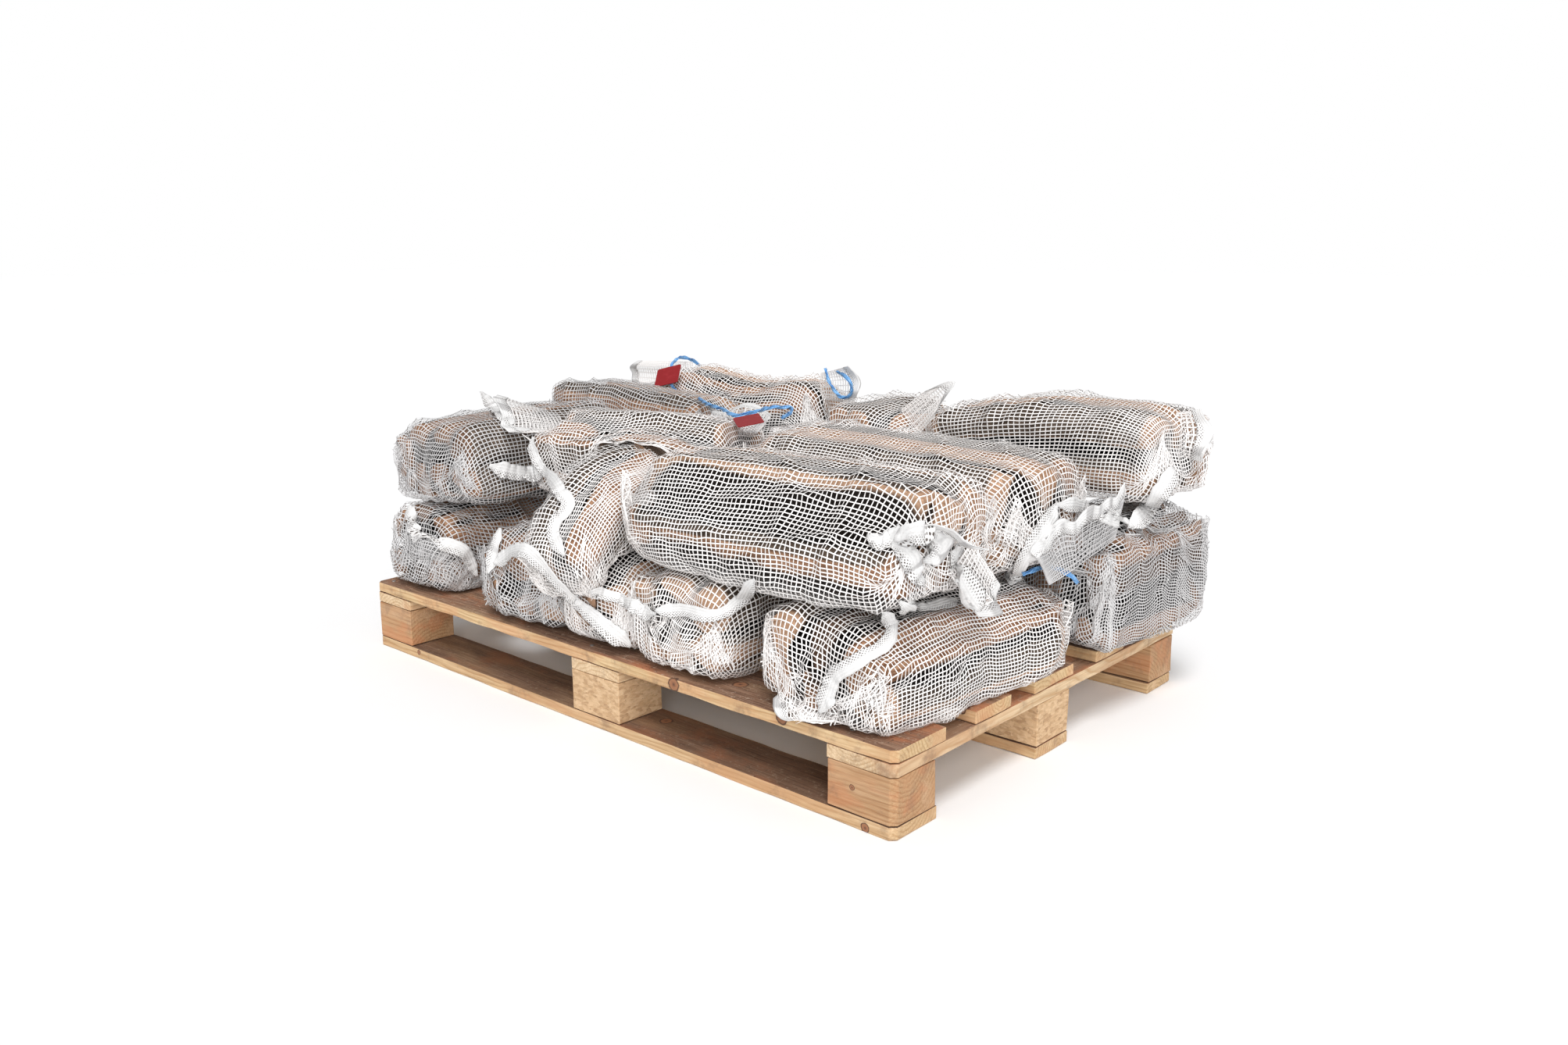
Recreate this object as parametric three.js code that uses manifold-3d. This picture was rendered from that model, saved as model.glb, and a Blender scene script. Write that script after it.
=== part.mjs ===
// Pallet of olive firewood: net sacks of split logs in two layers on a four-way wooden pallet.
// Millimetres, +Z up. The origin is on the floor under the middle of the pallet.
// +X runs along the long side, and the side at -Y is the long side with the open ends of the sacks.
import * as THREE from 'three';
import { mergeVertices } from 'three/addons/utils/BufferGeometryUtils.js';
import Module from 'manifold-3d';

const wasm = await Module();
wasm.setup();

// Pallet
const LENGTH = 1200;
const WIDTH = 800;
const BOARD = 19;
const BLOCK_HEIGHT = 66;
const BLOCK_LENGTH = 110;
const BLOCK_DEPTH = 90;
const STRINGER_WIDTH = 111;
const BOTTOM_BOARD_WIDTH = 94;
const CORNER_CUT = 8;
const DECK_BOARD_WIDTHS = [111, 91, 114, 93, 115];
const DECK_BOARD_GAPS = [70, 62, 69, 75];
const MIDDLE_STRINGER_X = 25;
const MIDDLE_BLOCK_Y = -9;
const CONTACT_GAP = 0.3;
const DECK_TOP = 3 * BOARD + BLOCK_HEIGHT;

// Sacks: facets around and along each one, and the logs that give it its form
const SIDES = 16;
const RINGS = 8;
const LOG_SIZE = 78;
const LOG_JITTER = 9;
const LOG_VARIETY = 0.16;
const LONG_LOG = 0.93;
const LENGTH_VARIETY = 0.1;
const SHORT_LOG_SHRINK = 0.84;
const LOG_CORNER = 0.55;
const END_SQUARENESS = 0.24;
const BOW = 7;
const NET_GAP = 0.4;

// Flaps of empty net
const FLAP_THICKNESS = 14;
const FLAP_CELLS = 3;
const FLAP_RIPPLE = 8;
const FLAP_RIPPLE_START = 0.7;

// Strings and tags
const STRING_RADIUS = 2.4;
const STRING_SIDES = 8;
const STRING_STEP = 13;
const TAG_SIZE = [60, 44, 1.4];

// Points closer than this are one point
const SAME_POINT = 1e-3;

const pine = new THREE.MeshStandardMaterial({ color: 0xc9a06c, roughness: 0.75, metalness: 0 });
const deckPine = new THREE.MeshStandardMaterial({ color: 0xb08a60, roughness: 0.8, metalness: 0 });
const pressedWood = new THREE.MeshStandardMaterial({ color: 0xc8a277, roughness: 0.85, metalness: 0 });
const netSack = new THREE.MeshStandardMaterial({ color: 0xcfc4b6, roughness: 0.6, metalness: 0 });
const blueTie = new THREE.MeshStandardMaterial({ color: 0x6fa3d8, roughness: 0.45, metalness: 0 });
const redTag = new THREE.MeshStandardMaterial({ color: 0xa81f22, roughness: 0.5, metalness: 0 });

const pallet = new THREE.Group();
const load = new THREE.Group();

function toSolid(geometry) {
  const bare = geometry.clone();
  bare.deleteAttribute('normal');
  bare.deleteAttribute('uv');
  const merged = mergeVertices(bare, SAME_POINT);
  const mesh = new wasm.Mesh({
    numProp: 3,
    vertProperties: new Float32Array(merged.attributes.position.array),
    triVerts: new Uint32Array(merged.index.array),
  });
  return new wasm.Manifold(mesh);
}

function toGeometry(solid) {
  const mesh = solid.getMesh();
  const geometry = new THREE.BufferGeometry();
  geometry.setAttribute('position', new THREE.BufferAttribute(mesh.vertProperties, 3));
  geometry.setIndex(new THREE.BufferAttribute(mesh.triVerts, 1));
  geometry.computeVertexNormals();
  return geometry;
}

function addMesh(group, name, geometry, material) {
  const mesh = new THREE.Mesh(geometry, material);
  mesh.name = name;
  group.add(mesh);
  return mesh;
}

// A sawn piece from x0 to x1 and y0 to y1, with the pallet's outer corners cut off where it reaches them
function sawnPiece(x0, x1, y0, y1, height) {
  const atCorner = (x, y) => Math.abs(x) === LENGTH / 2 && Math.abs(y) === WIDTH / 2;
  const corners = [[x0, y0], [x1, y0], [x1, y1], [x0, y1]];
  const points = [];
  corners.forEach(([x, y], i) => {
    if (!atCorner(x, y)) {
      points.push(new THREE.Vector2(x, y));
      return;
    }
    const before = corners[(i + 3) % 4];
    const after = corners[(i + 1) % 4];
    for (const [nextX, nextY] of [before, after]) {
      const cutX = x + Math.sign(nextX - x) * CORNER_CUT;
      const cutY = y + Math.sign(nextY - y) * CORNER_CUT;
      points.push(new THREE.Vector2(cutX, cutY));
    }
  });
  return new THREE.ExtrudeGeometry(new THREE.Shape(points), { depth: height, bevelEnabled: false });
}

function span(centre, size) {
  return [centre - size / 2, centre + size / 2];
}

// The places across the length and across the width that the blocks and boards share
const halfLength = LENGTH / 2;
const halfWidth = WIDTH / 2;
const blockX = {
  left: [-halfLength, -halfLength + BLOCK_LENGTH],
  middle: span(MIDDLE_STRINGER_X, BLOCK_LENGTH),
  right: [halfLength - BLOCK_LENGTH, halfLength],
};
const blockY = {
  front: [-halfWidth, -halfWidth + BLOCK_DEPTH],
  centre: span(MIDDLE_BLOCK_Y, BLOCK_DEPTH),
  back: [halfWidth - BLOCK_DEPTH, halfWidth],
};
const stringerX = {
  left: [-halfLength, -halfLength + STRINGER_WIDTH],
  middle: span(MIDDLE_STRINGER_X, STRINGER_WIDTH),
  right: [halfLength - STRINGER_WIDTH, halfLength],
};
const bottomY = {
  front: [-halfWidth, -halfWidth + BOTTOM_BOARD_WIDTH],
  centre: span(MIDDLE_BLOCK_Y, BOTTOM_BOARD_WIDTH),
  back: [halfWidth - BOTTOM_BOARD_WIDTH, halfWidth],
};

function addBottomBoards() {
  for (const [row, [y0, y1]] of Object.entries(bottomY)) {
    const board = sawnPiece(-halfLength, halfLength, y0, y1, BOARD - CONTACT_GAP);
    addMesh(pallet, `bottom_board_${row}`, board, pine);
  }
}

// The four corner blocks are sawn wood, and the others are pressed from chips
function addBlocks() {
  for (const [column, [x0, x1]] of Object.entries(blockX)) {
    for (const [row, [y0, y1]] of Object.entries(blockY)) {
      const pressed = row === 'centre' || column === 'middle';
      const block = sawnPiece(x0, x1, y0, y1, BLOCK_HEIGHT - CONTACT_GAP);
      const mesh = addMesh(pallet, `block_${column}_${row}`, block, pressed ? pressedWood : pine);
      mesh.position.z = BOARD;
    }
  }
}

function addStringers() {
  for (const [column, [x0, x1]] of Object.entries(stringerX)) {
    const board = sawnPiece(x0, x1, -halfWidth, halfWidth, BOARD - CONTACT_GAP);
    const mesh = addMesh(pallet, `stringer_${column}`, board, pine);
    mesh.position.z = BOARD + BLOCK_HEIGHT;
  }
}

function addDeck() {
  let near = -halfWidth;
  DECK_BOARD_WIDTHS.forEach((width, i) => {
    const last = i === DECK_BOARD_WIDTHS.length - 1;
    const far = last ? halfWidth : near + width;
    const board = sawnPiece(-halfLength, halfLength, near, far, BOARD);
    const mesh = addMesh(pallet, `deck_board_${i + 1}`, board, deckPine);
    mesh.position.z = DECK_TOP - BOARD;
    near = last ? far : far + DECK_BOARD_GAPS[i];
  });
}

// A number from -1 to 1 for one choice of one sack, the same on every run
function chance(seed, choice) {
  const wave = Math.sin(seed * 127.1 + choice * 311.7) * 43758.5453;
  return 2 * (wave - Math.floor(wave)) - 1;
}

// The choices that a sack's seed settles: five for each log, then the bow of the whole sack
const CHOICES = { size: 0, x: 1, z: 2, lean: 3, reach: 4 };
const CHOICES_PER_LOG = 5;
const BOW_CHOICE = { x: 90, y: 91 };

// The logs of a sack in its cross-section: rows of them, each off its place and size a little,
// and some of them shorter than the sack
function logsOf({ width, height, seed }) {
  const rows = Math.max(2, Math.round(height / LOG_SIZE));
  const columns = Math.max(2, Math.round(width / LOG_SIZE));
  const usual = 0.5 * Math.min(width / columns, height / rows);
  const logs = [];
  for (let row = 0; row < rows; row += 1) {
    for (let column = 0; column < columns; column += 1) {
      const choose = (what) => chance(seed, logs.length * CHOICES_PER_LOG + CHOICES[what]);
      const radius = usual * (1 + LOG_VARIETY * choose('size'));
      const reachX = width / 2 - radius;
      const reachZ = height / 2 - radius;
      const x = ((2 * column) / (columns - 1) - 1) * reachX + LOG_JITTER * choose('x');
      const z = ((2 * row) / (rows - 1) - 1) * reachZ + LOG_JITTER * choose('z');
      logs.push({
        x: THREE.MathUtils.clamp(x, -reachX, reachX),
        z: THREE.MathUtils.clamp(z, -reachZ, reachZ),
        radius,
        lean: LOG_JITTER * choose('lean'),
        reach: LONG_LOG + LENGTH_VARIETY * choose('reach'),
      });
    }
  }
  return logs;
}

// The line through the middle of a sack. A straight one gets a slight bow.
function middleLine({ line, seed }) {
  const points = line.map((p) => new THREE.Vector3(...p));
  if (points.length === 2) {
    const middle = points[0].clone().lerp(points[1], 0.5);
    middle.x += BOW * chance(seed, BOW_CHOICE.x);
    middle.y += BOW * chance(seed, BOW_CHOICE.y);
    points.splice(1, 0, middle);
  }
  return new THREE.CatmullRomCurve3(points);
}

// Where the net touches the log that lies furthest out in one direction of the cross-section.
// A split log is squarish, so its corners have a smaller radius than the log.
function furthestPoint(logs, along, normalX, normalZ) {
  let best = { reach: -Infinity };
  for (const log of logs) {
    const size = log.radius * (Math.abs(along) > log.reach ? SHORT_LOG_SHRINK : 1);
    const corner = size * LOG_CORNER;
    const x = log.x + log.lean * along + Math.sign(normalX) * (size - corner) + corner * normalX;
    const z = log.z + Math.sign(normalZ) * (size - corner) + corner * normalZ;
    const reach = x * normalX + z * normalZ;
    if (reach > best.reach) best = { reach, x, z };
  }
  return best;
}

// The outer form of a filled sack: the net stretched over its logs, drawn along the sack's middle line.
// grow makes it larger all round.
function sackBody(sack, grow) {
  const line = middleLine(sack);
  const logs = logsOf(sack);
  const turn = THREE.MathUtils.degToRad(sack.turn ?? 0);
  const geometry = new THREE.SphereGeometry(1, SIDES, RINGS);
  const { position } = geometry.attributes;
  const lift = new THREE.Vector3(0, 0, 1);
  for (let i = 0; i < position.count; i += 1) {
    const ring = Math.floor(i / (SIDES + 1));
    const side = (i % (SIDES + 1)) % SIDES;
    const atTip = ring === 0 || ring === RINGS;
    const bend = (1 - (2 * ring) / RINGS) * (Math.PI / 2);
    const along = Math.sign(bend) * Math.abs(Math.sin(bend)) ** (2 * END_SQUARENESS);
    const where = THREE.MathUtils.clamp((along + 1) / 2, 0, 1);
    const ahead = line.getTangent(where);
    const across = new THREE.Vector3().crossVectors(ahead, lift).normalize();
    const up = new THREE.Vector3().crossVectors(across, ahead);
    across.applyAxisAngle(ahead, turn);
    up.applyAxisAngle(ahead, turn);
    const angle = -(side / SIDES) * 2 * Math.PI;
    const normalX = Math.cos(angle);
    const normalZ = Math.sin(angle);
    const touch = furthestPoint(logs, along, normalX, normalZ);
    const full = atTip ? 0 : Math.cos(bend) ** END_SQUARENESS;
    const point = line.getPoint(where).addScaledVector(ahead, grow * along);
    if (!atTip) {
      point.addScaledVector(across, touch.x * full + grow * normalX);
      point.addScaledVector(up, touch.z * full + grow * normalZ);
    }
    position.setXYZ(i, point.x, point.y, point.z);
  }
  return toSolid(geometry);
}

// A flap of empty net past the logs, rippled, from the sack's end to its hem
function flapSolid(flap, grow) {
  const geometry = new THREE.BoxGeometry(1, 1, 1, FLAP_CELLS, 1, FLAP_CELLS);
  const { position } = geometry.attributes;
  const root = new THREE.Vector3(...flap.from);
  const ahead = new THREE.Vector3(...flap.to).sub(root);
  const length = ahead.length();
  ahead.normalize();
  const across = new THREE.Vector3().crossVectors(ahead, new THREE.Vector3(...flap.face)).normalize();
  const out = new THREE.Vector3().crossVectors(across, ahead);
  for (let i = 0; i < position.count; i += 1) {
    const t = position.getX(i) + 0.5;
    const side = position.getZ(i);
    const width = THREE.MathUtils.lerp(flap.rootWidth, flap.hemWidth, t) + 2 * grow;
    const ripple = FLAP_RIPPLE * t * Math.sin(side * 2 * Math.PI + FLAP_RIPPLE_START);
    const point = root.clone().addScaledVector(ahead, t * (length + grow));
    point.addScaledVector(across, side * width);
    point.addScaledVector(out, position.getY(i) * (FLAP_THICKNESS + 2 * grow) + ripple);
    position.setXYZ(i, point.x, point.y, point.z);
  }
  return toSolid(geometry);
}

// Flaps of empty net that stand off the sacks. face is the way that the flat of the flap looks.
const FLAPS = {
  low_front_5: [
    { from: [500, -388, 142], to: [398, -404, 133], rootWidth: 34, hemWidth: 46, face: [0, -0.3, 1] },
  ],
  low_right: [
    { from: [556, 96, 250], to: [590, -18, 282], rootWidth: 96, hemWidth: 40, face: [0, 0, 1] },
    { from: [612, 34, 286], to: [617, 20, 364], rootWidth: 200, hemWidth: 290, face: [1, 0, 0] },
  ],
  top_front_3: [
    { from: [16, -84, 426], to: [-92, 62, 446], rootWidth: 90, hemWidth: 112, face: [0, 0, 1] },
    { from: [-304, -186, 426], to: [-356, -288, 452], rootWidth: 120, hemWidth: 200, face: [0.2, 0, 1] },
  ],
  top_front_4: [
    { from: [572, -292, 372], to: [632, -330, 392], rootWidth: 60, hemWidth: 104, face: [0, 0.4, 1] },
    { from: [596, -262, 345], to: [617, -205, 268], rootWidth: 60, hemWidth: 58, face: [1, 0, 0] },
  ],
  top_right_2: [
    { from: [630, 278, 446], to: [680, 290, 446], rootWidth: 70, hemWidth: 86, face: [0, 1, 0] },
  ],
  top_back_1: [
    { from: [-440, 272, 458], to: [-628, 264, 453], rootWidth: 70, hemWidth: 66, face: [0, 1, 0] },
    { from: [-66, 252, 470], to: [32, 246, 480], rootWidth: 52, hemWidth: 76, face: [0, 1, 0] },
  ],
  top_back_3: [
    { from: [186, 190, 432], to: [270, 196, 508], rootWidth: 70, hemWidth: 50, face: [0, 1, 0] },
  ],
};

// Each sack: the line through its middle, its width and height, and how far it is rolled over.
// The lower ones come first, because each sack takes its dents from the ones before it.
const SACKS = [
  { name: 'low_front_1', line: [[-494, -394, 203], [-492, 30, 203]], width: 208, height: 162, seed: 1 },
  { name: 'low_front_2', line: [[-164, -406, 202], [-238, 30, 203]], width: 214, height: 160, seed: 2 },
  { name: 'low_front_3', line: [[22, -400, 201], [-34, 30, 202]], width: 180, height: 158, seed: 3 },
  { name: 'low_front_4', line: [[198, -404, 203], [156, 30, 203]], width: 208, height: 162, seed: 4 },
  { name: 'low_front_5', line: [[470, -406, 201], [488, 58, 195]], width: 252, height: 160, seed: 5, turn: 5 },
  { name: 'low_right', line: [[540, 78, 223], [548, 432, 226]], width: 216, height: 206, seed: 6 },
  { name: 'low_back_1', line: [[-592, 132, 226], [-160, 134, 226]], width: 178, height: 205, seed: 7 },
  { name: 'low_back_2', line: [[-592, 316, 226], [-160, 316, 226]], width: 172, height: 206, seed: 8 },
  { name: 'low_back_3', line: [[-150, 134, 226], [404, 134, 226]], width: 178, height: 204, seed: 9 },
  { name: 'low_back_4', line: [[-150, 318, 227], [404, 318, 227]], width: 172, height: 206, seed: 10 },
  { name: 'top_front_1', line: [[-464, -370, 354], [-450, -18, 368]], width: 298, height: 158, seed: 11, turn: -7 },
  {
    name: 'top_front_2',
    line: [[-54, -160, 362], [-28, -322, 340], [-4, -440, 238]],
    width: 150,
    height: 136,
    seed: 12,
  },
  { name: 'top_front_3', line: [[-286, -196, 388], [66, -104, 384]], width: 236, height: 146, seed: 13 },
  { name: 'top_front_4', line: [[64, -284, 362], [594, -268, 364]], width: 254, height: 162, seed: 14 },
  { name: 'top_right_1', line: [[44, -14, 366], [600, -26, 362]], width: 236, height: 166, seed: 15 },
  {
    name: 'top_right_2',
    line: [[206, 288, 386], [430, 282, 416], [660, 276, 418]],
    width: 212,
    height: 156,
    seed: 16,
  },
  {
    name: 'top_back_1',
    line: [[-474, 284, 420], [-263, 280, 388], [-52, 276, 412]],
    width: 192,
    height: 172,
    seed: 17,
  },
  { name: 'top_back_2', line: [[-604, 74, 402], [-150, 78, 392]], width: 178, height: 150, seed: 18 },
  { name: 'top_back_3', line: [[106, 392, 390], [108, 124, 392]], width: 204, height: 140, seed: 19 },
  { name: 'top_back_4', line: [[-532, 394, 388], [-528, 140, 386]], width: 158, height: 124, seed: 20 },
];

// The strings that tie the sacks' mouths, each by the points that it follows
const STRINGS = {
  string_1: [[-456, 312, 480], [-456, 282, 496], [-452, 246, 501], [-444, 214, 486], [-428, 192, 466],
    [-404, 180, 450], [-384, 176, 438]],
  string_2: [[-176, 30, 458], [-120, -4, 456], [-52, -34, 455], [4, -60, 453], [16, -22, 456],
    [2, 30, 457], [22, 56, 456], [56, 22, 455], [86, -34, 454]],
  string_3: [[-48, 240, 506], [-38, 233, 490], [-22, 231, 470], [0, 230, 456], [20, 230, 462],
    [22, 230, 480], [6, 231, 496], [-16, 234, 503]],
  string_4: [[578, -78, 281], [590, -52, 287], [600, -24, 284], [606, 4, 270], [610, 26, 254]],
};

// The card tags: the middle of each, and its turns about X, Y and Z in degrees
const TAGS = {
  tag_1: { at: [-424, 186, 470], turn: [52, -14, 12] },
  tag_2: { at: [64, -92, 453], turn: [10, 6, -38] },
};

function stringSolid(points, grow) {
  const route = new THREE.CatmullRomCurve3(points.map((p) => new THREE.Vector3(...p)), false, 'centripetal');
  const section = new THREE.Shape();
  section.absarc(0, 0, STRING_RADIUS + grow, 0, 2 * Math.PI);
  const steps = Math.round(route.getLength() / STRING_STEP);
  const options = { steps, extrudePath: route, curveSegments: STRING_SIDES / 2, bevelEnabled: false };
  return toSolid(new THREE.ExtrudeGeometry(section, options));
}

function tagSolid({ at, turn }, grow) {
  const plate = new THREE.BoxGeometry(...TAG_SIZE.map((size) => size + 2 * grow));
  const turns = new THREE.Euler(...turn.map((angle) => THREE.MathUtils.degToRad(angle)));
  plate.applyMatrix4(new THREE.Matrix4().makeRotationFromEuler(turns));
  plate.translate(...at);
  return toSolid(plate);
}

function sackSolid(sack, grow) {
  const flaps = (FLAPS[sack.name] ?? []).map((flap) => flapSolid(flap, grow));
  return flaps.reduce((solid, flap) => solid.add(flap), sackBody(sack, grow));
}

function largestPiece(solid) {
  const pieces = solid.decompose();
  return pieces.reduce((best, piece) => (piece.volume() > best.volume() ? piece : best));
}

function boxesMeet(a, b) {
  return [0, 1, 2].every((k) => a.min[k] < b.max[k] && b.min[k] < a.max[k]);
}

// The space up to the deck, where no sack reaches
function deckZone() {
  const zone = toSolid(new THREE.BoxGeometry(2 * LENGTH, 2 * LENGTH, 2 * DECK_TOP));
  return zone.translate([0, 0, CONTACT_GAP]);
}

// What is already in place cuts its form out of each sack that comes after it.
// Strings and tags come before the sacks, because they press into them.
function addLoad() {
  const inPlace = [deckZone()];
  for (const [name, points] of Object.entries(STRINGS)) {
    addMesh(load, name, toGeometry(stringSolid(points, 0)), blueTie);
    inPlace.push(stringSolid(points, NET_GAP));
  }
  for (const [name, tag] of Object.entries(TAGS)) {
    addMesh(load, name, toGeometry(tagSolid(tag, 0)), redTag);
    inPlace.push(tagSolid(tag, NET_GAP));
  }
  for (const sack of SACKS) {
    let solid = sackSolid(sack, 0);
    for (const other of inPlace) {
      if (boxesMeet(other.boundingBox(), solid.boundingBox())) solid = solid.subtract(other);
    }
    addMesh(load, `sack_${sack.name}`, toGeometry(largestPiece(solid)), netSack);
    inPlace.push(sackSolid(sack, NET_GAP));
  }
}

addBottomBoards();
addBlocks();
addStringers();
addDeck();
addLoad();

const firewoodPallet = new THREE.Group();
firewoodPallet.add(pallet, load);

export default firewoodPallet;
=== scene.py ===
import math

import bmesh
import bpy
import numpy as np
from mathutils import Euler, Matrix, Vector
from mathutils.bvhtree import BVHTree


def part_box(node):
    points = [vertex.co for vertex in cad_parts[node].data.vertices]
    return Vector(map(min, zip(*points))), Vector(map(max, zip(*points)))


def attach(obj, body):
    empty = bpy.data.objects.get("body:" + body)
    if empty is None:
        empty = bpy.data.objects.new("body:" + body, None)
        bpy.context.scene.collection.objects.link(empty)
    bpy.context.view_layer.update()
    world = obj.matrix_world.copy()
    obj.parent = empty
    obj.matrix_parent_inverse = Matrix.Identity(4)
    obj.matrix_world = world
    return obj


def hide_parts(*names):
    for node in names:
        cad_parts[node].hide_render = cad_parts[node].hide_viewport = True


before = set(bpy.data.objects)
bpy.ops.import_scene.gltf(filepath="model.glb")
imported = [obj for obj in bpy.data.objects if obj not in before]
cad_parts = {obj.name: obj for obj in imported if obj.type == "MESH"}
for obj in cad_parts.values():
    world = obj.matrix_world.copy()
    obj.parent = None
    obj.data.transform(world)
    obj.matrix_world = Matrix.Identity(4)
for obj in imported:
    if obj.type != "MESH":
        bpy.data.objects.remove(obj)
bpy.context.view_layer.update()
scene = bpy.context.scene

# The camera, fitted to the pallet's corners in the photograph
CAMERA_PLACE = Vector((1.449, -1.563, 0.737))
CAMERA_TURN = math.radians(41.62)
CAMERA_DOWN = math.radians(12.71)
FOCAL_LENGTH_PIXELS = 1590
PHOTO_WIDTH_PIXELS = 2007
PHOTO_MIDDLE = (1003.5, 669)
SENSOR_WIDTH = 36.0

# Pallet
HALF_LENGTH = 0.600
HALF_WIDTH = 0.400
CORNER_CUT = 0.008
SAWN_EDGE = 0.0013
SAWN_WAVE = 0.0009
BOARD_CELL = 0.026
RIM_ANGLE = 0.4
PITH_ACROSS = 0.06
PITH_AWAY = (0.02, 0.07)
NAIL_RADIUS = 0.0042
NAIL_STAND = 0.0002
NAIL_SIDES = 16
NAIL_FROM_EDGE = 0.022
NAIL_FROM_MIDDLE = 0.03
# The looks of each kind of board or block: its slot, its colour when fresh, how worn and how red it is, and
# how dark its top is painted, as painted shade
PALLET_LOOKS = {
    "bottom_board": dict(slot="bottom_pine", fresh=(0.62, 0.44, 0.25), worn=1.0, red=0.0, painted_top_shade=0.55),
    "stringer": dict(slot="stringer_pine", fresh=(0.72, 0.55, 0.35), worn=0.9, red=0.0),
    "deck_board": dict(slot="deck_pine", fresh=(0.68, 0.50, 0.28), worn=1.0, red=0.25),
    "block": dict(slot="block_pine", fresh=(0.50, 0.31, 0.165), worn=0.0, red=0.3),
}
# Knots that the photograph shows: the piece, the middle and the radius
KNOTS = [
    ("deck_board_1", (0.202, -0.400, 0.114), 0.011),
    ("deck_board_1", (0.411, -0.400, 0.118), 0.010),
    ("deck_board_1", (0.290, -0.352, 0.123), 0.012),
    ("deck_board_2", (0.575, -0.215, 0.123), 0.010),
    ("block_right_front", (0.532, -0.400, 0.055), 0.0042),
    ("bottom_board_front", (0.554, -0.400, 0.006), 0.0070),
    ("bottom_board_front", (-0.470, -0.400, 0.012), 0.0050),
    ("bottom_board_front", (0.120, -0.340, 0.0205), 0.011),
]

# Logs
LOG_SIZE = 0.078
LOG_JITTER = 0.009
LOG_VARIETY = 0.16
SINK = 0.020
SINK_INWARD = 0.5
SLANT_DROP = 0.35
UPPER_FROM = 0.2
FRONT_FROM = 0.6
LONG_LOG = 0.93
LENGTH_VARIETY = 0.1
SHORT_LOG_SHRINK = 0.84
LOG_CORNER = 0.55
END_SQUARENESS = 0.24
BOW = 0.007
LOG_SIDES = 24
LOG_RINGS = 14
LOG_CLEARANCE = 0.005
LOG_UNDER_NET = 0.0016
LOG_RIM = 0.12
LOG_FILLS = 0.97
LOG_SWELL = 0.05
LOG_RIDGES = 0.045
LOG_TWIST = 0.12
LOG_SHORTER = 0.015
FILL_REACH = 0.030
FILL_SHARE = (0.65, 1.0)
# The kinds of log, for a log of radius one: how far its pith is from its middle, how far its bark is from
# the pith, and which share of the logs is of that kind
LOG_KINDS = {
    "wedge": dict(pith=0.52, reach=1.40, share=0.62),
    "half": dict(pith=0.30, reach=1.20, share=0.26),
    "round": dict(pith=0.0, reach=0.97, share=0.12),
}
# Half the angle between the split faces, in degrees
WEDGE_OPENING = (34, 58)
HALF_OPENING = 88

# Net
THREAD_PITCH = 0.0054
ROW_PITCH = 0.0070
THREAD_WIDTH = 0.0017
THREAD_LIFT = 0.00025
CLOTH_CELL = 0.0125
NET_SLACK = 1.02
NET_OFF_LOG = 0.0024
NET_OFF_NEIGHBOUR = 0.0009
SEAM_PLACE = 0.985
SEAM_INSIDE = 0.004
SEAM_PAST = 0.004
SEAM_ROWS = 4
SEAM_WIDTH = 0.45
SEAM_DROP = 0.26
SEAM_TILT = 0.12
DRAPE_STEPS = 200
CONTACT_EVERY = 10
START_INSIDE = 0.003
SAG = 0.00012
KEPT_SPEED = 0.88
FIRST_DRAW = 0.03
LAST_DRAW = 0.003
TIGHT_PULL = 0.9
LOOSE_PULL = 0.45
SMOOTHING = 0.04
SWIRL = 1.2
RIPPLE = 0.25
GATHERS = 11
GATHER_REACH = 0.30
GATHER_SHIFT = 0.42
GATHER_HEIGHT = 0.010
WRINKLE = 0.0020
FOLD_FAMILIES = 5
FOLD_HEIGHT = 0.010
FOLD_PAST_ROOM = 0.006
FOLD_GAP = 0.0015

# Flaps of empty net. They ripple as in the source, and are thinner than its solids
FLAP_HALF_THICKNESS = 0.0032
FLAP_RIPPLE = 0.008
FLAP_RIPPLE_START = 0.7
FLAP_CRUMPLE = 0.0030
FLAP_CLOSING = 0.88
FLAP_POINT = 0.16
FLAP_RAGGED = 0.006

# White bands
BAND_WIDTH = 0.022
BAND_PAST_NET = 0.8
BAND_CELL = 0.0024
BAND_THICKNESS = 0.0009
BAND_OFF_NET = 0.0026
PLEAT = 0.0011
PLEAT_SHADE = 0.0020
PLEAT_SPACING = 0.013
RIB_SPACING = 0.0044
PICK_SPACING = 0.0052
BAND_LIFT = 0.001
BAND_CURL = 0.0014
BAND_SLIDE = 0.0010
BAND_TAPER = 0.020

# Light
WORLD_LIGHT = 0.38
SUNS = [
    dict(name="key", strength=1.75, softness=22, turn=(28, 0, 40)),
    dict(name="fill", strength=1.55, softness=32, turn=(68, 0, 48)),
]
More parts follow.
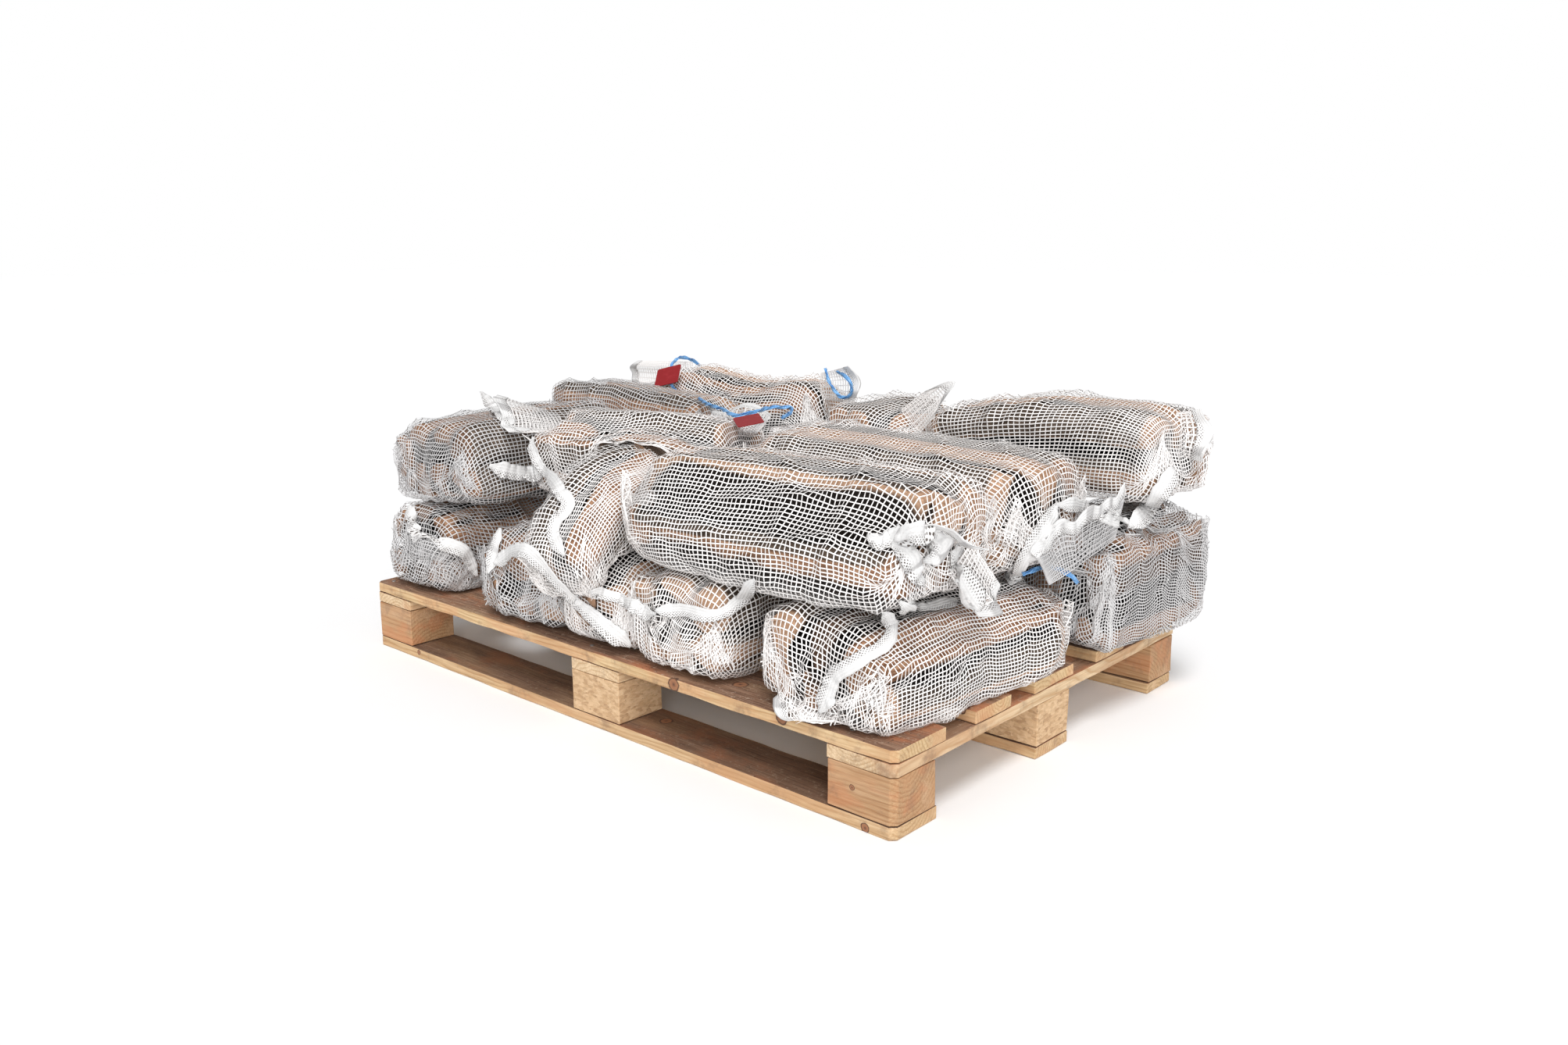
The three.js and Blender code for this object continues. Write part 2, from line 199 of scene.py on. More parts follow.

# Each sack as in the source: the line through its middle, its width and height, its seed and its roll.
# slant is how far its upper log on the front side has rolled back, and light how light its logs are painted;
# below one, it darkens them as painted shade, for a sack that lies in shade.
# mouth is the seam across the end that the line starts from, by the pixels where the photograph shows it.
SACKS = [
    dict(name="low_front_1", seed=1, width=0.208, height=0.162, light=0.4,
         line=[(-0.494, -0.394, 0.203), (-0.492, 0.030, 0.203)],
         mouth=[(526, 656), (530, 684), (562, 697), (592, 708), (608, 735), (626, 735), (636, 680)]),
    dict(name="low_front_2", seed=2, width=0.214, height=0.160,
         line=[(-0.164, -0.406, 0.202), (-0.238, 0.030, 0.203)]),
    dict(name="low_front_3", seed=3, width=0.180, height=0.158,
         line=[(0.022, -0.400, 0.201), (-0.034, 0.030, 0.202)]),
    dict(name="low_front_4", seed=4, width=0.208, height=0.162,
         line=[(0.198, -0.404, 0.203), (0.156, 0.030, 0.203)]),
    dict(name="low_front_5", seed=5, width=0.252, height=0.160, turn=5,
         line=[(0.470, -0.406, 0.201), (0.488, 0.058, 0.195)]),
    dict(name="low_right", seed=6, width=0.216, height=0.206, light=0.4,
         line=[(0.540, 0.078, 0.223), (0.548, 0.432, 0.226)]),
    dict(name="low_back_1", seed=7, width=0.178, height=0.205,
         line=[(-0.592, 0.132, 0.226), (-0.160, 0.134, 0.226)]),
    dict(name="low_back_2", seed=8, width=0.172, height=0.206,
         line=[(-0.592, 0.316, 0.226), (-0.160, 0.316, 0.226)]),
    dict(name="low_back_3", seed=9, width=0.178, height=0.204,
         line=[(-0.150, 0.134, 0.226), (0.404, 0.134, 0.226)]),
    dict(name="low_back_4", seed=10, width=0.172, height=0.206,
         line=[(-0.150, 0.318, 0.227), (0.404, 0.318, 0.227)]),
    dict(name="top_front_1", seed=11, width=0.298, height=0.158, turn=-7, light=0.5,
         line=[(-0.464, -0.370, 0.354), (-0.450, -0.018, 0.368)]),
    dict(name="top_front_2", seed=12, width=0.150, height=0.136,
         line=[(-0.054, -0.160, 0.362), (-0.028, -0.322, 0.340), (-0.004, -0.440, 0.238)]),
    dict(name="top_front_3", seed=13, width=0.236, height=0.146,
         line=[(-0.286, -0.196, 0.388), (0.066, -0.104, 0.384)]),
    dict(name="top_front_4", seed=14, width=0.254, height=0.162, slant=0.042,
         line=[(0.064, -0.284, 0.362), (0.594, -0.268, 0.364)]),
    dict(name="top_right_1", seed=15, width=0.236, height=0.166, slant=0.024,
         line=[(0.044, -0.014, 0.366), (0.600, -0.026, 0.362)]),
    dict(name="top_right_2", seed=16, width=0.212, height=0.156,
         line=[(0.206, 0.288, 0.386), (0.430, 0.282, 0.416), (0.660, 0.276, 0.418)]),
    dict(name="top_back_1", seed=17, width=0.192, height=0.172,
         line=[(-0.474, 0.284, 0.420), (-0.263, 0.280, 0.388), (-0.052, 0.276, 0.412)]),
    dict(name="top_back_2", seed=18, width=0.178, height=0.150,
         line=[(-0.604, 0.074, 0.402), (-0.150, 0.078, 0.392)]),
    dict(name="top_back_3", seed=19, width=0.204, height=0.140,
         line=[(0.106, 0.392, 0.390), (0.108, 0.124, 0.392)]),
    dict(name="top_back_4", seed=20, width=0.158, height=0.124,
         line=[(-0.532, 0.394, 0.388), (-0.528, 0.140, 0.386)]),
]

# The sacks whose net is painted grey, as painted shade
SHADE_PAINTED_NETS = ["low_front_1", "low_front_2", "low_right", "top_front_1", "top_back_2", "top_back_4"]

# The flaps of empty net past the logs: from and to, the widths at both, and the way that the flat of the
# flap looks. They are as in the source, but the flap of top_back_3 is narrower. point is how far the corners
# of its hem hang back.
FLAPS = {
    "low_front_5": [
        dict(start=(0.500, -0.388, 0.142), end=(0.398, -0.404, 0.133), root=0.034, hem=0.046, point=0.34,
             face=(0, -0.3, 1))],
    "low_right": [
        dict(start=(0.556, 0.096, 0.250), end=(0.590, -0.018, 0.282), root=0.096, hem=0.040, face=(0, 0, 1)),
        dict(start=(0.612, 0.034, 0.286), end=(0.617, 0.020, 0.364), root=0.200, hem=0.290, face=(1, 0, 0))],
    "top_front_3": [
        dict(start=(0.016, -0.084, 0.426), end=(-0.092, 0.062, 0.446), root=0.090, hem=0.112, face=(0, 0, 1)),
        dict(start=(-0.304, -0.186, 0.426), end=(-0.356, -0.288, 0.452), root=0.120, hem=0.200,
             face=(0.2, 0, 1))],
    "top_front_4": [
        dict(start=(0.572, -0.292, 0.372), end=(0.632, -0.330, 0.392), root=0.060, hem=0.104,
             face=(0, 0.4, 1)),
        dict(start=(0.596, -0.262, 0.345), end=(0.617, -0.205, 0.268), root=0.060, hem=0.058,
             face=(1, 0, 0))],
    "top_right_2": [
        dict(start=(0.630, 0.278, 0.446), end=(0.680, 0.290, 0.446), root=0.070, hem=0.086, face=(0, 1, 0))],
    "top_back_1": [
        dict(start=(-0.440, 0.272, 0.458), end=(-0.628, 0.264, 0.453), root=0.070, hem=0.066, face=(0, 1, 0)),
        dict(start=(-0.066, 0.252, 0.470), end=(0.032, 0.246, 0.480), root=0.052, hem=0.076, face=(0, 1, 0))],
    "top_back_3": [
        dict(start=(0.186, 0.190, 0.432), end=(0.270, 0.196, 0.508), root=0.058, hem=0.042, point=0.5,
             face=(0, 1, 0))],
}

# The white bands sewn round the mouths, by the pixels of the photograph that each one's middle runs
# through, and the sacks that it lies on, its own first
HEMS = {
    "low_front_1_left": dict(on=["low_front_1"], pixels=[
        (524, 648), (529, 670), (536, 687), (552, 694), (566, 697), (580, 700), (594, 707), (602, 720),
        (610, 738)]),
    "low_front_1_right": dict(on=["low_front_1", "low_front_2", "top_front_3", "top_front_1"], pixels=[
        (641, 678), (638, 692), (634, 706), (630, 720), (626, 734)]),
    "low_front_2": dict(on=["low_front_2", "low_front_3", "low_front_4", "top_front_2", "top_front_3"],
                        width=0.026, pixels=[
        (634, 722), (648, 713), (664, 704), (676, 706), (692, 720), (708, 737), (724, 755), (740, 772),
        (756, 785), (772, 800), (792, 816), (808, 826)]),
    "low_front_3": dict(on=["low_front_3", "low_front_4", "top_front_2"], pixels=[
        (752, 756), (764, 758), (778, 762), (794, 766), (808, 774), (822, 783), (840, 786)]),
    "low_front_4": dict(on=["low_front_4", "low_front_5", "top_front_4", "low_front_3"], pixels=[
        (840, 781), (856, 782), (876, 781), (896, 786), (912, 788), (926, 784), (938, 776), (950, 764),
        (960, 752), (968, 742)]),
    "low_front_5": dict(on=["low_front_5", "top_front_4"], pixels=[
        (1130, 780), (1139, 797), (1140, 814), (1129, 829), (1108, 841), (1086, 854), (1070, 864),
        (1062, 882), (1056, 898), (1050, 912)]),
    "top_front_3_upper": dict(on=["top_front_3", "top_front_1"], pixels=[
        (614, 502), (624, 514), (636, 528), (650, 541), (664, 548), (678, 548)]),
    "top_front_3_lower": dict(on=["top_front_3", "top_front_2", "low_front_2"], pixels=[
        (684, 560), (683, 576), (692, 596), (704, 608), (712, 620), (718, 632), (728, 644), (724, 656),
        (712, 666), (708, 680), (712, 694), (724, 712)]),
    "top_front_1": dict(on=["top_front_1", "top_front_3"], width=0.028, pleat=0.003, pixels=[
        (626, 596), (644, 602), (662, 606), (680, 607), (700, 602)]),
    "top_front_4_rosette": dict(on=["top_front_4"], width=0.028, pleat=0.005, pixels=[
        (1112, 688), (1128, 697), (1146, 692), (1164, 682), (1184, 685), (1202, 698), (1198, 712),
        (1180, 716)]),
    "top_front_4_lobe": dict(on=["top_front_4"], width=0.026, pleat=0.005, pixels=[
        (1140, 700), (1156, 706), (1166, 718), (1170, 732), (1178, 744)]),
    "top_front_4_flap": dict(on=["top_front_4", "low_front_5"], width=0.042, pixels=[
        (1218, 704), (1226, 722), (1236, 742), (1246, 762), (1256, 782)]),
    "top_front_4_lower": dict(on=["top_front_4", "low_front_5"], pixels=[
        (1150, 768), (1166, 780), (1186, 782), (1206, 776), (1224, 770)]),
    "low_right_left": dict(on=["low_right", "top_right_1", "low_front_5"], pixels=[
        (1352, 644), (1342, 664), (1328, 686), (1314, 708), (1302, 730), (1292, 750)]),
    "low_right_middle": dict(on=["low_right", "top_right_1", "top_right_2"], pixels=[
        (1350, 646), (1370, 646), (1392, 650), (1414, 658), (1434, 668), (1448, 676)]),
    "low_right_right": dict(on=["low_right", "top_right_2"], width=0.034, pixels=[
        (1446, 676), (1462, 660), (1478, 640), (1492, 618), (1500, 602)]),
}

# A string is a few strands of flat film, twisted round each other
STRANDS = 4
STRAND_WIDTH = 0.0046
STRAND_OUT = 0.0018
STRAND_UNEVENNESS = 0.18
STRAND_LEAN = 1.5
STRING_SIDES = 10
STRING_STEP = 0.003
STRING_FLATNESS = 0.14
STRING_TURNS_PER_METRE = 9
# The strings, by the points of the source, and the length that the photograph shows of each
STRINGS = {
    "string_1": dict(length=0.197, tag="tag_1", points=[
        (-0.456, 0.312, 0.480), (-0.456, 0.282, 0.496), (-0.452, 0.246, 0.501), (-0.444, 0.214, 0.486),
        (-0.428, 0.192, 0.466), (-0.404, 0.180, 0.450), (-0.384, 0.176, 0.438)]),
    "string_2": dict(length=0.446, tag="tag_2", points=[
        (-0.176, 0.030, 0.458), (-0.120, -0.004, 0.456), (-0.052, -0.034, 0.455), (0.004, -0.060, 0.453),
        (0.016, -0.022, 0.456), (0.002, 0.030, 0.457), (0.022, 0.056, 0.456), (0.056, 0.022, 0.455),
        (0.086, -0.034, 0.454)]),
    "string_3": dict(length=0.159, points=[
        (-0.048, 0.240, 0.506), (-0.038, 0.233, 0.490), (-0.022, 0.231, 0.470), (0.000, 0.230, 0.456),
        (0.020, 0.230, 0.462), (0.022, 0.230, 0.480), (0.006, 0.231, 0.496), (-0.016, 0.234, 0.503)]),
    "string_4": dict(length=0.119, points=[
        (0.578, -0.078, 0.281), (0.590, -0.052, 0.287), (0.600, -0.024, 0.284), (0.606, 0.004, 0.270),
        (0.610, 0.026, 0.254)]),
}
TAG_SIZE = (0.060, 0.044, 0.0014)
TAG_CORNER = 0.004
TAGS = {
    "tag_1": dict(middle=(-0.424, 0.186, 0.470), turn=(52, -14, 12)),
    "tag_2": dict(middle=(0.064, -0.092, 0.453), turn=(10, 6, -38)),
}


def camera_ahead():
    """The direction that the camera looks in."""
    level = math.cos(CAMERA_DOWN)
    return Vector((-math.sin(CAMERA_TURN) * level, math.cos(CAMERA_TURN) * level, -math.sin(CAMERA_DOWN)))


def add_camera():
    data = bpy.data.cameras.new("camera")
    data.sensor_width = SENSOR_WIDTH
    data.lens = SENSOR_WIDTH * FOCAL_LENGTH_PIXELS / PHOTO_WIDTH_PIXELS
    data.clip_start = 0.05
    data.clip_end = 100
    camera = bpy.data.objects.new("camera", data)
    camera.location = CAMERA_PLACE
    camera.rotation_euler = camera_ahead().to_track_quat("-Z", "Y").to_euler()
    scene.collection.objects.link(camera)
    scene.camera = camera


def add_node(tree, kind, inputs=None, **settings):
    """A shader node. A socket among the inputs is linked, and any other value is set."""
    made = tree.nodes.new("ShaderNode" + kind)
    for name, value in settings.items():
        setattr(made, name, value)
    for place, value in (inputs or {}).items():
        if isinstance(value, bpy.types.NodeSocket):
            tree.links.new(value, made.inputs[place])
        else:
            made.inputs[place].default_value = value
    return made


def start_material(name, roughness, **fixed):
    material = bpy.data.materials.new(name)
    material.use_nodes = True
    tree = material.node_tree
    shader = tree.nodes["Principled BSDF"]
    shader.inputs["Roughness"].default_value = roughness
    for socket, value in fixed.items():
        shader.inputs[socket.replace("_", " ")].default_value = value
    return material, tree, shader


def object_place(tree):
    return add_node(tree, "TexCoord").outputs["Object"]


def mapped(tree, vector, scale=(1, 1, 1), turn=(0, 0, 0), shift=(0, 0, 0)):
    inputs = {"Vector": vector, "Scale": scale, "Rotation": turn, "Location": shift}
    return add_node(tree, "Mapping", inputs).outputs["Vector"]


def noise(tree, vector, scale, detail=2.0, rough=0.5):
    inputs = {"Vector": vector, "Scale": scale, "Detail": detail, "Roughness": rough}
    return add_node(tree, "TexNoise", inputs).outputs["Fac"]


def maths(tree, how, first, second=0.0):
    """What the maths node of that name makes of one or two values."""
    return add_node(tree, "Math", {0: first, 1: second}, operation=how).outputs[0]


def stretch(tree, value, low, high, to_low=0.0, to_high=1.0):
    """The value from low to high, stretched smoothly to the other two."""
    inputs = {"Value": value, "From Min": low, "From Max": high, "To Min": to_low, "To Max": to_high}
    return add_node(tree, "MapRange", inputs, interpolation_type="SMOOTHSTEP").outputs["Result"]


def blend(tree, factor, first, second, how="MIX"):
    mixer = add_node(tree, "Mix", data_type="RGBA", blend_type=how)
    for place, value in {0: factor, 6: first, 7: second}.items():
        if isinstance(value, bpy.types.NodeSocket):
            tree.links.new(value, mixer.inputs[place])
        elif place == 0:
            mixer.inputs[place].default_value = value
        else:
            mixer.inputs[place].default_value = (*value, 1)
    return mixer.outputs[2]


def ramp(tree, factor, stops):
    made = add_node(tree, "ValToRGB", {"Fac": factor})
    elements = made.color_ramp.elements
    while len(elements) < len(stops):
        elements.new(0.5)
    for element, (place, colour) in zip(elements, stops):
        element.position = place
        element.color = (*colour, 1)
    return made.outputs["Color"]


def bump(tree, shader, height, depth, strength=1.0):
    made = add_node(tree, "Bump", {"Height": height, "Distance": depth, "Strength": strength})
    tree.links.new(made.outputs["Normal"], shader.inputs["Normal"])


def attribute(tree, name, kind="Fac"):
    """A number or a vector that a mesh holds for each of its vertices."""
    return add_node(tree, "Attribute", attribute_name=name).outputs[kind]


def face_towards(tree, axis):
    """How far the surface looks along one axis of the piece, up or down it."""
    normal = add_node(tree, "NewGeometry").outputs["Normal"]
    return add_node(tree, "SeparateXYZ", {0: normal}).outputs[axis]


def growth_rings(tree, place, bend, detail, wobble, across, per_metre):
    """The growth rings round a line, from 0 to 1 in each. They bend by wobble, and across picks the two ways
    across the grain."""
    bent = noise(tree, mapped(tree, place, scale=bend), 1.0, detail)
    moved = add_node(tree, "VectorMath", {0: bent, 1: wobble}, operation="MULTIPLY")
    warped = add_node(tree, "VectorMath", {0: place, 1: moved.outputs[0]}, operation="ADD")
    flat = add_node(tree, "VectorMath", {0: warped.outputs[0], 1: across}, operation="MULTIPLY")
    from_pith = add_node(tree, "VectorMath", {0: flat.outputs[0]}, operation="LENGTH").outputs["Value"]
    return maths(tree, "FRACT", maths(tree, "MULTIPLY", from_pith, per_metre))


def add_knot(tree, place, wood, middle, radius):
    """A knot: a reddish-brown disc with a dark middle and rim."""
    away = add_node(tree, "VectorMath", {0: place, 1: middle}, operation="DISTANCE").outputs["Value"]
    ragged = noise(tree, mapped(tree, place, scale=(160, 160, 160)), 1.0, 3.0)
    share = maths(tree, "MULTIPLY", away, maths(tree, "ADD", maths(tree, "MULTIPLY", ragged, 0.5), 0.75))
    share = maths(tree, "DIVIDE", share, radius)
    inside = ramp(tree, share, [(0.0, (0.07, 0.035, 0.022)), (0.35, (0.30, 0.13, 0.065)),
                                (0.70, (0.36, 0.165, 0.08)), (0.9, (0.085, 0.04, 0.025))])
    return blend(tree, stretch(tree, share, 0.92, 1.08, 1.0, 0.0), wood, inside)


def worn_top(tree, place, moved, fibres, painted_top_shade):
    """The grey and brown of a worn top, with warm patches, dust and dark crumbs, darkened by the last value
    as painted shade.
    """
    old = ramp(tree, fibres, [(0.28, (0.085, 0.040, 0.024)), (0.50, (0.23, 0.120, 0.070)),
                              (0.74, (0.40, 0.25, 0.165))])
    warm = noise(tree, mapped(tree, moved, scale=(6, 12, 12), shift=(1, 7, 3)), 1.0, 4.0, 0.6)
    old = blend(tree, stretch(tree, warm, 0.50, 0.66, 0.0, 0.75), old, (0.46, 0.16, 0.065))
    dust = stretch(tree, noise(tree, place, 150.0, 4.0, 0.75), 0.56, 0.68)
    old = blend(tree, maths(tree, "MULTIPLY", dust, 0.6), old, (0.58, 0.45, 0.34))
    crumbs = noise(tree, mapped(tree, place, shift=(3, 1, 2)), 210.0, 3.0, 0.65)
    crumbs = maths(tree, "MULTIPLY", stretch(tree, crumbs, 0.64, 0.69), 0.9)
    old = blend(tree, crumbs, old, (0.035, 0.022, 0.016))
    # Painted shade: the top darkened by the last value, which only the bottom boards under the deck are
    # given.
    return blend(tree, painted_top_shade, old, (0.09, 0.052, 0.032))


def sawn_pine(node_name, seed, grain, pith, fresh, worn, red, painted_top_shade=0.0):
    """Sawn pine with its rings round a line along the grain. worn is how far the top has gone grey and
    brown, red how much of the reddish heartwood shows, and the last how dark the top is painted, as painted
    shade."""
    material, tree, shader = start_material("pine_" + node_name, 0.78)
    place = object_place(tree)
    if grain == "Y":
        place = mapped(tree, place, turn=(0, 0, -math.pi / 2))
    choices = np.random.default_rng(seed)
    tilt = tuple(choices.uniform(-0.02, 0.02, 3))
    moved = mapped(tree, place, turn=(0, tilt[1], tilt[2]), shift=(choices.uniform(-3, 3), pith[0], pith[1]))
    rings = growth_rings(tree, moved, (2.5, 9, 9), 4.0, (0.0, 0.040, 0.040), (0, 1, 1), 150.0)
    pale = tuple(min(c * 1.12, 0.9) for c in fresh)
    late = (fresh[0] * 0.84, fresh[1] * 0.72, fresh[2] * 0.60)
    creamy = tuple(c * 1.15 + 0.07 for c in fresh)
    wood = ramp(tree, rings, [(0.0, fresh), (0.25, pale), (0.66, fresh), (0.90, late), (1.0, fresh)])
    cream = noise(tree, mapped(tree, moved, scale=(5, 30, 30), shift=(2, 5, 1)), 1.0, 4.0, 0.6)
    wood = blend(tree, stretch(tree, cream, 0.46, 0.70, 0.0, 0.75), wood, creamy)
    fibres = noise(tree, mapped(tree, moved, scale=(14, 380, 380)), 1.0, 3.0, 0.6)
    wood = blend(tree, stretch(tree, fibres, 0.30, 0.72, 0.40, 0.0), wood, (0.50, 0.31, 0.15), "MULTIPLY")
    blotches = noise(tree, mapped(tree, moved, scale=(4, 16, 16)), 1.0, 4.0, 0.65)
    wood = blend(tree, stretch(tree, blotches, 0.47, 0.68, 0.0, 0.6), wood, (0.55, 0.29, 0.14))
    if red:
        patches = stretch(tree, noise(tree, mapped(tree, moved, scale=(7, 18, 18)), 1.0, 3.0), 0.50, 0.60)
        wood = blend(tree, maths(tree, "MULTIPLY", patches, red), wood, (0.60, 0.20, 0.08))
    grime = noise(tree, place, 19.0, 6.0, 0.7)
    wood = blend(tree, stretch(tree, grime, 0.50, 0.72, 0.0, 0.6), wood, (0.24, 0.14, 0.085))
    if worn:
        up = stretch(tree, face_towards(tree, "Z"), 0.4, 0.8)
        uneven = noise(tree, mapped(tree, moved, scale=(3, 14, 14)), 1.0, 4.0)
        share = maths(tree, "MULTIPLY", up, stretch(tree, uneven, 0.22, 0.55, 0.6, 1.0))
        share = maths(tree, "MULTIPLY", share, worn)
        wood = blend(tree, share, wood, worn_top(tree, place, moved, fibres, painted_top_shade))
    for node, middle, radius in KNOTS:
        if node == node_name:
            wood = add_knot(tree, object_place(tree), wood, middle, radius)
    tree.links.new(wood, shader.inputs["Base Color"])
    height = maths(tree, "ADD", maths(tree, "MULTIPLY", rings, -0.25), maths(tree, "MULTIPLY", grime, 1.5))
    bump(tree, shader, maths(tree, "ADD", height, fibres), 0.0009, 0.9)
    return material


def pressed_chips(name, seed):
    """Wood chips pressed into a block: flakes that lie all ways, some of them dark."""
    material, tree, shader = start_material(name, 0.85)
    place = object_place(tree)
    colour = (0.62, 0.40, 0.22)
    height = 0.0
    for layer, turn in enumerate([(0.3, 0.2, 0.5), (1.2, 0.8, 1.9), (2.1, 1.7, 2.6)]):
        flakes = mapped(tree, place, scale=(1, 1, 2.6), turn=turn, shift=(seed, layer, 0))
        cells = add_node(tree, "TexVoronoi", {"Vector": flakes, "Scale": 190.0 - 45 * layer})
        tone = add_node(tree, "SeparateXYZ", {0: cells.outputs["Color"]}).outputs["X"]
        flake = ramp(tree, tone, [(0.0, (0.36, 0.20, 0.10)), (0.3, (0.58, 0.37, 0.20)),
                                  (1.0, (0.80, 0.58, 0.36))])
        colour = blend(tree, 0.5, colour, flake)
        height = maths(tree, "ADD", height, tone)
    specks = stretch(tree, noise(tree, place, 240.0, 2.0), 0.66, 0.74, 0.0, 0.6)
    colour = blend(tree, specks, colour, (0.20, 0.11, 0.06))
    tree.links.new(colour, shader.inputs["Base Color"])
    bump(tree, shader, height, 0.0006, 0.7)
    return material


def olive_wood():
    """Split olive: pinkish tan with brown streaks, and grey-brown bark on the round side. grain is the
    place in the log, from its pith, bark is 1 on the bark, and depth is how far the net is. The wood far
    from the net lies between other logs, and is painted near black there as painted shade."""
    material, tree, shader = start_material("olive_wood", 0.80, Specular_IOR_Level=0.3)
    grain = attribute(tree, "grain", "Vector")
    bark = attribute(tree, "bark")
    tone = attribute(tree, "tone")
    depth = attribute(tree, "depth")
    rings = growth_rings(tree, grain, (14, 14, 5), 3.0, (0.03, 0.03, 0.0), (1, 1, 0), 160.0)
    wood = ramp(tree, rings, [(0.0, (0.45, 0.255, 0.150)), (0.45, (0.55, 0.335, 0.210)),
                              (0.9, (0.27, 0.140, 0.078)), (1.0, (0.45, 0.255, 0.150))])
    fibres = noise(tree, mapped(tree, grain, scale=(300, 300, 9)), 1.0, 3.0, 0.6)
    wood = blend(tree, stretch(tree, fibres, 0.35, 0.70, 0.55, 0.0), wood, (0.45, 0.26, 0.16), "MULTIPLY")
    # Light and dark logs by their tone, which holds painted shade in the sacks whose light is below one.
    wood = blend(tree, stretch(tree, tone, 0.3, 1.0, 0.0, 0.6), wood, (0.70, 0.47, 0.32))
    wood = blend(tree, stretch(tree, tone, 0.12, 0.24, 0.85, 0.0), wood, (0.05, 0.027, 0.018))
    rough = noise(tree, mapped(tree, grain, scale=(120, 120, 45)), 1.0, 5.0, 0.7)
    skin = ramp(tree, rough, [(0.30, (0.03, 0.02, 0.015)), (0.50, (0.10, 0.07, 0.05)),
                              (0.72, (0.22, 0.16, 0.12))])
    colour = blend(tree, stretch(tree, bark, 0.35, 0.65), wood, skin)
    # Painted shade: the wood deep under the net, between the logs, is painted near black.
    colour = blend(tree, stretch(tree, depth, 0.0075, 0.0145, 0.0, 0.985), colour, (0.005, 0.003, 0.0025))
    tree.links.new(colour, shader.inputs["Base Color"])
    bump(tree, shader, maths(tree, "ADD", fibres, maths(tree, "MULTIPLY", rough, bark)), 0.0015, 0.8)
    return material


def white_thread(name, fresh, worn):
    """The net's flat plastic thread, fresh in some places and worn in others."""
    material, tree, shader = start_material(name, 0.50, Specular_IOR_Level=0.35)
    place = object_place(tree)
    soft = noise(tree, place, 9.0, 3.0)
    colour = blend(tree, stretch(tree, soft, 0.35, 0.70, 0.0, 0.5), fresh, worn)
    tree.links.new(colour, shader.inputs["Base Color"])
    bump(tree, shader, noise(tree, place, 1400.0, 2.0), 0.0002, 0.5)
    return material


def white_band():
    """A dense woven band. weave is the place in the band, along it and across it in metres, and the pleat
    attribute is how deep in a pleat it lies; the deep parts are darkened as painted shade."""
    material, tree, shader = start_material("white_band", 0.60, Specular_IOR_Level=0.3)
    weave = attribute(tree, "weave", "Vector")
    hollow = attribute(tree, "hollow")
    along, across, _ = add_node(tree, "SeparateXYZ", {0: weave}).outputs
    ribs = maths(tree, "SINE", maths(tree, "MULTIPLY", across, 2 * math.pi / RIB_SPACING))
    picks = maths(tree, "SINE", maths(tree, "MULTIPLY", along, 2 * math.pi / PICK_SPACING))
    grid = maths(tree, "MULTIPLY", ribs, picks)
    loose = noise(tree, mapped(tree, weave, scale=(300, 420, 1)), 1.0, 2.0, 0.6)
    soft = noise(tree, mapped(tree, weave, scale=(70, 40, 1)), 1.0, 3.0)
    near_net = stretch(tree, across, 0.012, 0.005, 0.06, 1.0)
    dots = stretch(tree, maths(tree, "ADD", maths(tree, "MULTIPLY", grid, 0.45), loose), 0.58, 0.78)
    holes = maths(tree, "MULTIPLY", dots, near_net)
    colour = blend(tree, stretch(tree, ribs, -1.0, 0.4, 0.25, 0.0), (0.84, 0.835, 0.83), (0.58, 0.57, 0.565))
    colour = blend(tree, stretch(tree, soft, 0.42, 0.72, 0.0, 0.35), colour, (0.62, 0.61, 0.60))
    # Painted shade in the hollows of the pleats.
    colour = blend(tree, stretch(tree, hollow, 0.05, 0.8, 0.0, 0.7), colour, (0.38, 0.37, 0.37))
    # Painted shade: near the net, the openings of the weave are painted near black, as the shade behind them.
    colour = blend(tree, holes, colour, (0.10, 0.08, 0.07))
    tree.links.new(colour, shader.inputs["Base Color"])
    bump(tree, shader, maths(tree, "ADD", ribs, maths(tree, "MULTIPLY", loose, 3.0)), 0.0002, 0.8)
    return material


def blue_film():
    material, tree, shader = start_material("blue_film", 0.32, Specular_IOR_Level=0.5)
    place = object_place(tree)
    streaks = noise(tree, mapped(tree, place, scale=(900, 900, 240)), 1.0, 2.0)
    colour = ramp(tree, streaks, [(0.3, (0.05, 0.20, 0.52)), (0.5, (0.15, 0.40, 0.76)),
                                  (0.72, (0.42, 0.66, 0.90))])
    tree.links.new(colour, shader.inputs["Base Color"])
    bump(tree, shader, streaks, 0.0006, 0.8)
    return material


def red_card():
    material, tree, shader = start_material("red_card", 0.45, Specular_IOR_Level=0.4)
    place = object_place(tree)
    wear = noise(tree, place, 90.0, 4.0, 0.6)
    colour = blend(tree, stretch(tree, wear, 0.5, 0.8, 0.0, 0.5), (0.28, 0.010, 0.014), (0.42, 0.035, 0.04))
    tree.links.new(colour, shader.inputs["Base Color"])
    bump(tree, shader, wear, 0.0004, 0.5)
    return material


def pale_floor():
    material, tree, shader = start_material("pale_floor", 0.9, Specular_IOR_Level=0.1)
    faint = noise(tree, object_place(tree), 3.0, 2.0)
    colour = blend(tree, stretch(tree, faint, 0.3, 0.7), (0.97, 0.97, 0.975), (0.98, 0.98, 0.985))
    tree.links.new(colour, shader.inputs["Base Color"])
    return material


def unit(vectors):
    """The vectors at length one."""
    sizes = np.sqrt((vectors ** 2).sum(axis=-1, keepdims=True))
    return vectors / np.maximum(sizes, 1e-9)


